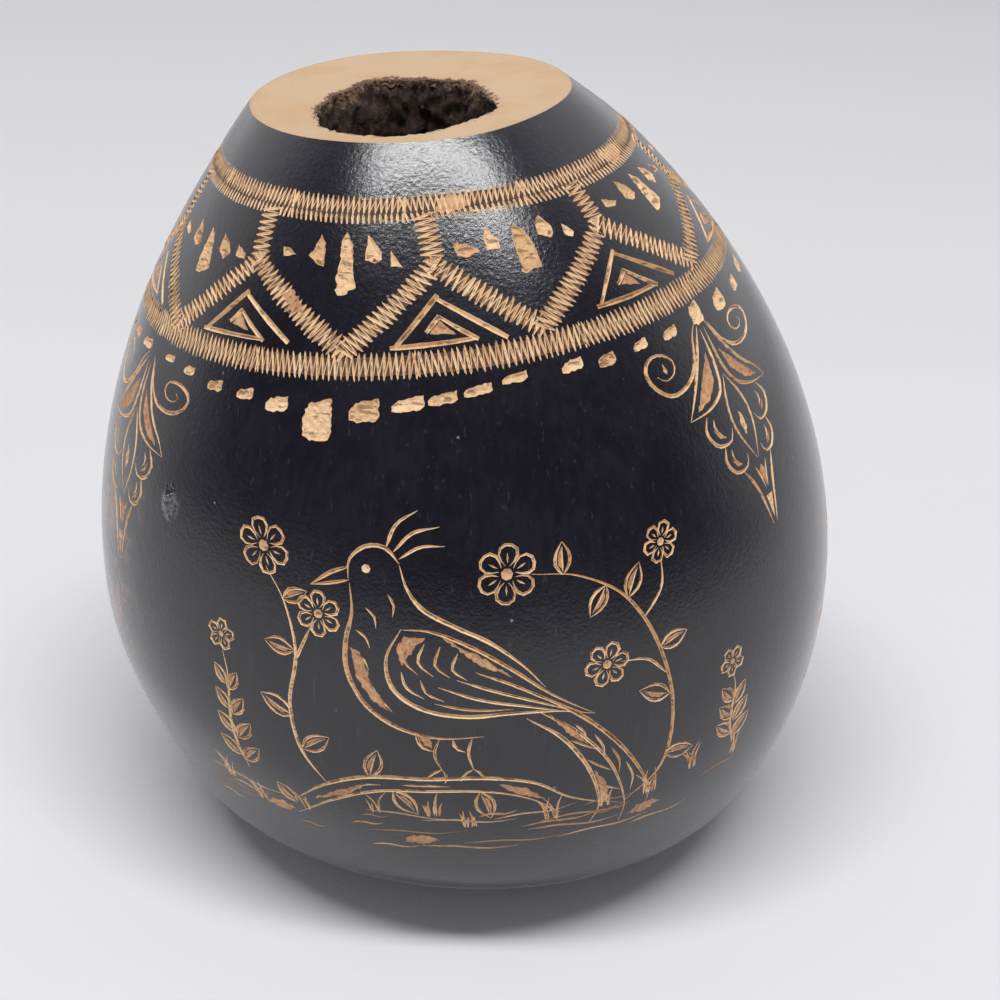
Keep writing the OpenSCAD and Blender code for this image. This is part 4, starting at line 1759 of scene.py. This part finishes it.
class PithCrumbs(NodeTool):
    """Geometry Nodes that scatter crumbs of dry pith over the hole's wall."""

    INPUTS = ("Density", "Smallest", "Largest", "Seed", "Crumb", "Finish")
    UP = (1 + math.sqrt(5)) / 2
    CORNERS = (
        (-1, UP, 0), (1, UP, 0), (-1, -UP, 0), (1, -UP, 0), (0, -1, UP), (0, 1, UP),
        (0, -1, -UP), (0, 1, -UP), (UP, 0, -1), (UP, 0, 1), (-UP, 0, -1), (-UP, 0, 1),
    )
    FACES = (
        (0, 11, 5), (0, 5, 1), (0, 1, 7), (0, 7, 10), (0, 10, 11), (1, 5, 9), (5, 11, 4), (11, 10, 2),
        (10, 7, 6), (7, 1, 8), (3, 9, 4), (3, 4, 2), (3, 2, 6), (3, 6, 8), (3, 8, 9), (4, 9, 5),
        (2, 4, 11), (6, 2, 10), (8, 6, 7), (9, 8, 1),
    )

    def __init__(self, finish: bpy.types.Material) -> None:
        """Build the tree that scatters.

        Args:
            finish: The crumbs' material.
        """
        super().__init__("pith_crumbs", "Wall", self.INPUTS)
        self.finish = finish
        link, given = self.link, self.given
        spread = self.node("GeometryNodeDistributePointsOnFaces")
        link(given["Wall"], spread.inputs["Mesh"])
        link(given["Density"], spread.inputs["Density"])
        link(given["Seed"], spread.inputs["Seed"])
        size = self.node("FunctionNodeRandomValue", data_type="FLOAT")
        link(given["Smallest"], size.inputs[2])
        link(given["Largest"], size.inputs[3])
        link(given["Seed"], size.inputs["Seed"])
        turn = self.node("FunctionNodeRandomValue", data_type="FLOAT_VECTOR")
        turn.inputs[1].default_value = (math.tau, math.tau, math.tau)
        self.repeat(spread.outputs["Points"], "Crumb", turn.outputs[0], size.outputs[1])

    def _lump(self, name: str, stretch: Spot) -> bpy.types.Object:
        """One uneven crumb, about a unit across.

        Args:
            name: Its name, which also picks its unevenness.
            stretch: How far it is drawn out along its axes.

        Returns:
            The crumb.
        """
        chance = random.Random(name)
        spots = [Vector(v).normalized() * chance.uniform(0.34, 0.62) for v in self.CORNERS]
        mesh = bpy.data.meshes.new(name)
        mesh.from_pydata([[a * b for a, b in zip(spot, stretch)] for spot in spots], [], self.FACES)
        return bpy.data.objects.new(name, mesh)

    def scatter(
        self,
        name: str,
        wall: bpy.types.Object,
        stretch: Spot,
        density: float,
        sizes: tuple[float, float],
        seed: int,
    ) -> bpy.types.Object:
        """Scatter one kind of crumb over a wall.

        Args:
            name: Name of the piece that comes back.
            wall: The mesh to scatter over.
            stretch: The crumb's proportions.
            density: Crumbs for each square metre.
            sizes: Smallest and largest size in millimetres.
            seed: Picks their places.

        Returns:
            The crumbs as one plain mesh piece.
        """
        made = self.run(
            wall.data,
            {
                "Density": density,
                "Smallest": sizes[0] * MM,
                "Largest": sizes[1] * MM,
                "Seed": seed,
                "Crumb": self._lump("lump_" + name, stretch),
                "Finish": self.finish,
            },
        )
        made.name = name
        made.polygons.foreach_set("use_smooth", [False] * len(made.polygons))
        piece = bpy.data.objects.new(name, made)
        bpy.context.scene.collection.objects.link(piece)
        return piece


class Val:
    """A shader value that takes part in plain arithmetic, adding a Math node for each step."""

    def __init__(self, maker: "Finish", socket: bpy.types.NodeSocket) -> None:
        """Keep the socket and who made it."""
        self.maker = maker
        self.socket = socket

    def _math(self, operation: str, a: object, b: object) -> "Val":
        """One Math node."""
        return self.maker.node("ShaderNodeMath", {"operation": operation}, {0: a, 1: b})

    def __add__(self, other: object) -> "Val":
        """Sum."""
        return self._math("ADD", self, other)

    __radd__ = __add__

    def __sub__(self, other: object) -> "Val":
        """Difference."""
        return self._math("SUBTRACT", self, other)

    def __rsub__(self, other: object) -> "Val":
        """Difference, the other way round."""
        return self._math("SUBTRACT", other, self)

    def __mul__(self, other: object) -> "Val":
        """Product."""
        return self._math("MULTIPLY", self, other)

    __rmul__ = __mul__

    def __pow__(self, other: object) -> "Val":
        """Power."""
        return self._math("POWER", self, other)

    def rise(self, low: float, high: float) -> "Val":
        """A smooth step from 0 at low to 1 at high."""
        ends = {0: self, 1: low, 2: high, 3: 0.0, 4: 1.0}
        return self.maker.node("ShaderNodeMapRange", {"interpolation_type": "SMOOTHSTEP"}, ends)


class Finish:
    """A material built from nodes, with one method that makes every node."""

    def __init__(self, name: str, world: bpy.types.World | None = None) -> None:
        """Start an empty material, or take over a world's nodes.

        Args:
            name: The material's name.
            world: The world, where there is one.
        """
        self.material = None if world else bpy.data.materials.new(name)
        if self.material:
            self.material.use_nodes = True
        self.tree = (world or self.material).node_tree
        self.tree.nodes.clear()
        self.output = self.tree.nodes.new("ShaderNodeOutputWorld" if world else "ShaderNodeOutputMaterial")
        self.place = self.node("ShaderNodeTexCoord", out="Generated" if world else "Object")

    def node(
        self, kind: str, settings: dict | None = None, inputs: dict | None = None, out: int | str = 0
    ) -> Val:
        """Add a node.

        Args:
            kind: Its type.
            settings: Its properties, set first; "stops" gives a ramp's places and colours.
            inputs: Values or links for its sockets, by name or number.
            out: Which output comes back.

        Returns:
            That output.
        """
        node = self.tree.nodes.new(kind)
        for name, value in (settings or {}).items():
            if name == "stops":
                ramp = node.color_ramp.elements
                while len(ramp) < len(value):
                    ramp.new(0.5)
                for element, (at, colour) in zip(ramp, value):
                    element.position = at
                    element.color = (*colour, 1)
            else:
                setattr(node, name, value)
        for name, value in (inputs or {}).items():
            if isinstance(value, Val):
                self.tree.links.new(value.socket, node.inputs[name])
            elif isinstance(value, tuple) and len(value) == 3 and node.inputs[name].type == "RGBA":
                node.inputs[name].default_value = (*value, 1)
            else:
                node.inputs[name].default_value = value
        return Val(self, node.outputs[out])

    def mix(self, share: object, a: object, b: object) -> Val:
        """Mix two colours."""
        return self.node("ShaderNodeMix", {"data_type": "RGBA"}, {0: share, 6: a, 7: b}, 2)

    def stretched(self, x: float, y: float, z: float) -> Val:
        """Object coordinates scaled along the axes."""
        return self.node("ShaderNodeVectorMath", {"operation": "MULTIPLY"}, {0: self.place, 1: (x, y, z)})

    def grain(
        self, period: float, detail: float = 3.0, rough: float = 0.55, place: Val | None = None
    ) -> Val:
        """Noise.

        Args:
            period: How wide its lumps are, in millimetres.
            detail: How many finer layers it has.
            rough: How strong they are.
            place: The coordinates that it reads, where not the object's own.

        Returns:
            A value about 0.5.
        """
        inputs = {"Vector": place or self.place, "Scale": 1000 / period}
        return self.node("ShaderNodeTexNoise", None, {**inputs, "Detail": detail, "Roughness": rough})

    def painted(self, channel: int) -> Val:
        """One of the three numbers that a piece carries in the attribute "cut"."""
        paint = self.node("ShaderNodeAttribute", {"attribute_name": "cut"}, None, "Color")
        return self.node("ShaderNodeSeparateColor", None, {0: paint}, channel)

    def axis(self, which: int) -> Val:
        """One of the three coordinates."""
        return self.node("ShaderNodeSeparateXYZ", None, {0: self.place}, which)

    def cells(self, scale: float, out: str = "Distance") -> Val:
        """Random cells, scale of them to a metre."""
        return self.node("ShaderNodeTexVoronoi", None, {"Vector": self.place, "Scale": scale}, out)

    def mirrored(self) -> Val:
        """1 where a surface is seen as a reflection, else 0."""
        return self.node("ShaderNodeLightPath", None, None, "Is Glossy Ray")

    def distance(self, spot: Spot) -> Val:
        """Distance from a spot.

        Args:
            spot: The spot, in millimetres.

        Returns:
            Millimetres.
        """
        there = tuple(v * MM for v in spot)
        ends = {0: self.place, 1: there}
        return self.node("ShaderNodeVectorMath", {"operation": "DISTANCE"}, ends, "Value") * 1000

    def bump(self, height: Val, depth: float, under: Val | None = None) -> Val:
        """A bump.

        Args:
            height: Its height, from 0 to about 1.
            depth: How many millimetres that stands for.
            under: Another bump that it lies over.

        Returns:
            The normal.
        """
        inputs = {"Height": height, "Distance": depth * MM, "Strength": 1.0}
        if under:
            inputs["Normal"] = under
        return self.node("ShaderNodeBump", None, inputs)

    def finish(
        self, colour: object, rough: object, normal: Val | None = None, **more: float
    ) -> bpy.types.Material:
        """Join the looks to the shader.

        Args:
            colour: A colour or a link.
            rough: A roughness or a link.
            normal: The bump, where there is one.
            more: Numbers for other sockets, named with _ for a space.

        Returns:
            The material.
        """
        inputs = {"Base Color": colour, "Roughness": rough}
        if normal:
            inputs["Normal"] = normal
        inputs.update({name.replace("_", " "): value for name, value in more.items()})
        shader = self.node("ShaderNodeBsdfPrincipled", None, inputs)
        self.tree.links.new(shader.socket, self.output.inputs["Surface"])
        return self.material

    def backdrop(self, colour: Val) -> None:
        """Join a colour to a world's background."""
        sky = self.node("ShaderNodeBackground", None, {"Color": colour, "Strength": 1.0})
        self.tree.links.new(sky.socket, self.output.inputs["Surface"])


@dataclass(frozen=True)
class BlackDye:
    """Near-black dye on the hard skin: satin, grainy where it catches the light, rubbed in places."""

    deep: Colour = (0.0040, 0.0034, 0.0070)
    lifted: Colour = (0.0095, 0.0088, 0.0150)
    rubbed: Colour = (0.20, 0.085, 0.035)
    dust: Colour = (0.30, 0.29, 0.30)
    scratched: Colour = (0.075, 0.072, 0.085)
    # painted highlight: a grey mixed over the blister's dome
    blister_highlight: Colour = (0.13, 0.12, 0.125)
    worn_spots: tuple[tuple[Spot, float], ...] = (
        ((-51.5, -25, 60), 13),
        ((-52.5, -27, 44), 12),
        ((54.5, -16, 40), 9),
        ((30, 48, 50), 10),
    )
    # the blister's dome is painted grey as a highlight, and the pit above it is painted the darkest dye as
    # shade
    blister: Spot = (-40.4, -37.3, 66.6)
    blister_reach: float = 2.6
    pit: Spot = (-40.6, -36.7, 68.1)
    pit_reach: float = 1.3
    speck_cells: float = 400.0
    pit_cells: float = 1300.0
    sheen_low: float = 0.14
    sheen_high: float = 0.27

    def make(self) -> bpy.types.Material:
        """Build the finish.

        Returns:
            The material.
        """
        f = Finish("black_skin")
        cloud = f.grain(14, 4)
        streak = f.grain(1.1, 3, 0.6, f.stretched(1, 1, 0.09))
        fine = f.grain(0.8, 4, 0.72)
        shade = (cloud * 0.6 + streak * 0.5).rise(0.42, 0.72)
        colour = f.mix(shade, self.deep, self.lifted)
        wear = f.grain(5, 6, 0.7).rise(0.50, 0.60)
        for spot, reach in self.worn_spots:
            near = 1 - f.distance(spot).rise(reach * 0.3, reach)
            colour = f.mix(wear * near * 0.8, colour, self.rubbed)
        lucky = f.cells(self.speck_cells, "Color").rise(0.80, 0.86)
        speck = (1 - f.cells(self.speck_cells).rise(0.05, 0.11)) * lucky
        colour = f.mix(speck * 0.7, colour, self.dust)
        scratch = f.grain(0.5, 2, 0.5, f.stretched(1, 1, 0.05)).rise(0.64, 0.74)
        colour = f.mix(scratch * 0.22, colour, self.scratched)
        rough = self.sheen_low + (self.sheen_high - self.sheen_low) * (fine * 0.6 + cloud * 0.55)
        # painted highlight and painted shade: the blister's dome is painted grey, the pit above it the
        # darkest dye
        blister = (self.blister, self.blister_reach, self.blister_highlight)
        for spot, reach, shown in (blister, (self.pit, self.pit_reach, self.deep)):
            near = 1 - f.distance(spot).rise(reach * 0.55, reach)
            colour = f.mix(near * (0.35 + 0.65 * fine.rise(0.4, 0.6)), colour, shown)
        soft = f.bump(f.grain(9, 3), 0.05)
        tight = f.grain(0.45, 3, 0.6)
        normal = f.bump(tight + fine * 0.35 + f.cells(self.pit_cells) * 0.4, 0.036, soft)
        return f.finish(colour, rough, normal, Specular_IOR_Level=0.7, Sheen_Weight=0.3, Sheen_Roughness=0.3)


@dataclass(frozen=True)
class CutRind:
    """Pale dry rind in the cuts, some of it rubbed brown.

    The pieces carry a cut's tone, its luck and its depth for it.
    """

    pale: Colour = (0.82, 0.57, 0.33)
    deep: Colour = (0.62, 0.37, 0.18)
    brown: Colour = (0.42, 0.19, 0.10)
    stain: Colour = (0.030, 0.015, 0.012)
    shadow: Colour = (0.20, 0.095, 0.045)
    rough: float = 0.72

    def make(self) -> bpy.types.Material:
        """Build the finish.

        Returns:
            The material.
        """
        f = Finish("cut_rind")
        tone, luck, depth = (f.painted(channel) for channel in range(3))
        fibre = f.grain(0.5, 4, 0.7, f.stretched(1, 1, 0.5))
        cloud = f.grain(3.5, 3)
        base = f.mix((fibre * 0.7 + luck * 0.4).rise(0.38, 0.85), self.pale, self.deep)
        scorched = f.mix((fibre + cloud * 0.6).rise(0.6, 1.0), self.brown, self.deep)
        colour = f.mix((tone * 1.1 * (0.75 + 0.5 * cloud)).rise(0.05, 0.95), base, scorched)
        colour = f.mix(tone.rise(1.3, 1.7) * (0.84 + 0.16 * fibre.rise(0.4, 0.6)), colour, self.stain)
        chatter = f.grain(0.62, 3, 0.6, f.stretched(0.22, 0.22, 1)).rise(0.5, 0.6) * depth.rise(0.2, 0.46)
        shallow = (1 - depth.rise(0.0, 0.16)) * fibre.rise(0.44, 0.6)
        # painted shade: darker along the cuts' shallow edges and in their chatter lines
        colour = f.mix(shallow * 0.55 + chatter * 0.72, colour, self.shadow)
        return f.finish(colour, self.rough, f.bump(fibre - chatter * 0.7, 0.12))


@dataclass(frozen=True)
class SandedRind:
    """The sawn face: pale rind sanded smooth, more orange in places, crumbling at the hole."""

    tan: Colour = (0.575, 0.405, 0.245)
    orange: Colour = (0.52, 0.300, 0.125)
    crumb: Colour = (0.12, 0.055, 0.026)
    rough: float = 0.62

    def make(self) -> bpy.types.Material:
        """Build the finish.

        Returns:
            The material.
        """
        f = Finish("sanded_rind")
        near, rim = f.painted(0), f.painted(1)
        cloud = f.grain(9, 4)
        pores = f.grain(0.5, 4, 0.7)
        scratches = f.grain(0.7, 3, 0.6, f.stretched(0.16, 1.0, 1.0))
        colour = f.mix(cloud.rise(0.42, 0.66) * 0.42, self.tan, self.orange)
        colour = f.mix(pores.rise(0.56, 0.72) * 0.42, colour, self.orange)
        colour = f.mix(rim.rise(0.55, 1.0) * pores.rise(0.35, 0.6) * 0.6, colour, self.orange)
        specks = f.grain(1.3, 5, 0.8)
        colour = f.mix((near + specks * 1.9 - 0.95).rise(0.30, 0.44), colour, self.crumb)
        normal = f.bump(pores, 0.05, f.bump(scratches, 0.03))
        return f.finish(colour, self.rough, normal)


@dataclass(frozen=True)
class DryPith:
    """Dry pith: dark, crumbly and porous, with paler broken edges."""

    dark: Colour = (0.030, 0.018, 0.016)
    middle: Colour = (0.075, 0.042, 0.032)
    pale: Colour = (0.36, 0.225, 0.125)
    rough: float = 0.92

    def make(self) -> bpy.types.Material:
        """Build the finish.

        Returns:
            The material.
        """
        f = Finish("dry_pith")
        broad = f.grain(3.2, 5, 0.7)
        fine = f.grain(0.7, 5, 0.75)
        high = f.painted(0)
        colour = f.mix((broad * 0.6 + fine * 0.5).rise(0.44, 0.66), self.dark, self.middle)
        woody = (high * 0.5 + broad * 1.0 + fine * 0.3).rise(1.0, 1.2)
        colour = f.mix(woody * fine.rise(0.40, 0.58) * 0.9, colour, self.pale)
        return f.finish(colour, self.rough, f.bump(fine, 0.35, f.bump(broad, 0.7)))


@dataclass(frozen=True)
class Studio:
    """A pale cloth, plain soft light and the photograph's camera."""

    lens: float = 64.8
    pitch: float = 0.47206646646917193
    roll: float = -0.04018446601288271
    away: float = 288.2455
    aside: float = -6.2696
    above: float = 1.3829
    aim_up: float = 8.0
    cloth: Colour = (0.775, 0.775, 0.79)
    wall: Colour = (0.755, 0.755, 0.77)
    dim_cloth: Colour = (0.10, 0.10, 0.11)
    room_low: Colour = (0.80, 0.81, 0.83)
    room_high: Colour = (0.20, 0.20, 0.22)
    mirrored_front: Colour = (0.09, 0.09, 0.12)
    mirrored_back: Colour = (0.96, 0.96, 1.0)
    lamp_at: Spot = (-0.02, -0.60, 1.90)
    lamp_aim: Spot = (0.0, 0.0, 0.06)
    lamp_size: tuple[float, float] = (1.85, 0.27)
    lamp_watts: float = 36.5

    def camera(self, form: GourdForm) -> None:
        """Stand the camera where the photograph was taken from.

        Args:
            form: The body that it looks at.
        """
        c, s = math.cos(form.lean), math.sin(form.lean)
        aim = np.array([-form.centre_x - self.aim_up * s, 0, form.belly_h + self.aim_up * c])
        forward = np.array([0, math.cos(self.pitch), -math.sin(self.pitch)])
        right = np.array([1.0, 0, 0])
        up = np.array([0, math.sin(self.pitch), math.cos(self.pitch)])
        spot = aim - forward * self.away - self.aside * right - self.above * up
        c, s = math.cos(self.roll), math.sin(self.roll)
        x_axis, y_axis = c * right - s * up, s * right + c * up
        data = bpy.data.cameras.new("camera")
        data.lens = self.lens
        data.sensor_width = 36.0
        data.clip_start = 0.01
        data.clip_end = 20.0
        camera = bpy.data.objects.new("camera", data)
        turn = Matrix((x_axis, y_axis, -forward)).transposed().to_4x4()
        camera.matrix_world = Matrix.Translation(Vector(spot * MM)) @ turn
        bpy.context.scene.collection.objects.link(camera)
        bpy.context.scene.camera = camera

    def floor(self) -> bpy.types.Object:
        """A wide pale cloth whose far part is a shade darker, as a wall behind it looks.

        Returns:
            The floor.
        """
        mesh = bpy.data.meshes.new("cloth_floor")
        mesh.from_pydata([(-4, -4, 0), (4, -4, 0), (4, 4, 0), (-4, 4, 0)], [], [(0, 1, 2, 3)])
        f = Finish("pale_cloth")
        depth = f.axis(1) * 1000
        wave = f.grain(60, 2)
        far = (depth + (wave - 0.5) * 12).rise(168, 192)
        colour = f.mix(far, self.cloth, self.wall)
        soft = f.grain(240, 3)
        colour = f.mix(soft.rise(0.35, 0.65) * 0.12, colour, self.wall)
        # painted reflection: seen mirrored in the skin, the cloth far to the front and sides turns dark
        away = f.distance((0, 0, 0)).rise(330, 520) * (1 - depth.rise(-60, 220))
        colour = f.mix(away * f.mirrored() * 0.8, colour, self.dim_cloth)
        weave = f.bump(f.grain(0.6, 2), 0.05, f.bump(wave, 1.2))
        mesh.materials.append(f.finish(colour, 0.9, weave))
        floor = bpy.data.objects.new("cloth_floor", mesh)
        bpy.context.scene.collection.objects.link(floor)
        return floor

    def lamp(self) -> None:
        """The one soft lamp, a strip overhead that runs across the picture."""
        data = bpy.data.lights.new("strip_lamp", "AREA")
        data.shape = "RECTANGLE"
        data.size, data.size_y = self.lamp_size
        data.energy = self.lamp_watts
        lamp = bpy.data.objects.new("strip_lamp", data)
        back = (Vector(self.lamp_at) - Vector(self.lamp_aim)).normalized()
        y_axis = back.cross(Vector((1, 0, 0))).normalized()
        x_axis = y_axis.cross(back).normalized()
        turn = Matrix((x_axis, y_axis, back)).transposed().to_4x4()
        lamp.matrix_world = Matrix.Translation(Vector(self.lamp_at)) @ turn
        bpy.context.scene.collection.objects.link(lamp)

    def room(self) -> None:
        """The pale room round the gourd, dimmer in front where the dyed skin mirrors it."""
        world = bpy.data.worlds.new("pale_room")
        world.use_nodes = True
        f = Finish("pale_room", world)
        plain = f.mix(f.axis(2).rise(0.10, 0.62), self.room_low, self.room_high)
        seen = f.mix(f.axis(1).rise(-0.22, 0.36), self.mirrored_front, self.mirrored_back)
        f.backdrop(f.mix(f.mirrored(), plain, seen))
        bpy.context.scene.world = world
        bpy.context.scene.view_settings.view_transform = "Standard"


def main() -> None:
    """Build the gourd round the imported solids, dress it and light it."""
    logging.basicConfig(level=logging.INFO, format="%(name)s: %(message)s")
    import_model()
    form = GourdForm()
    studio = Studio()
    studio.camera(form)
    studio.floor()
    studio.lamp()
    studio.room()
    black, pale = BlackDye().make(), CutRind().make()
    sanded, pith = SandedRind().make(), DryPith().make()
    carving = Carving(form, WalkedGouge(pale))
    Ornament(form, carving).carve()
    skin = CarvedSkin(form, carving.cuts)
    skin.build()
    mouth = SawnMouth(form)
    dressed = []
    for piece in skin.pieces(black, pale):
        dressed.append((piece, "black_skin" if piece.name.startswith("skin") else "pale_rind"))
    dressed.append((mouth.face(skin, sanded), "pale_rind"))
    dressed.append((mouth.foot(skin, sanded), "pale_rind"))
    lining = mouth.lining(pith)
    dressed.append((lining, "dark_pith"))
    crumbs = PithCrumbs(pith).scatter("pith_crumbs", lining, (1, 0.8, 0.6), 60000, (0.25, 0.9), 4)
    dressed.append((crumbs, "dark_pith"))
    stands_for = {"black_skin": "dyed_skin", "pale_rind": "gourd_wall", "dark_pith": "pith_lining"}
    for piece, slot in dressed:
        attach(piece, "root")
        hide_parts(stands_for[slot])
        LOG.info("%s: %d triangles", piece.name, sum(len(p.vertices) - 2 for p in piece.data.polygons))


if __name__ == "__main__":
    main()
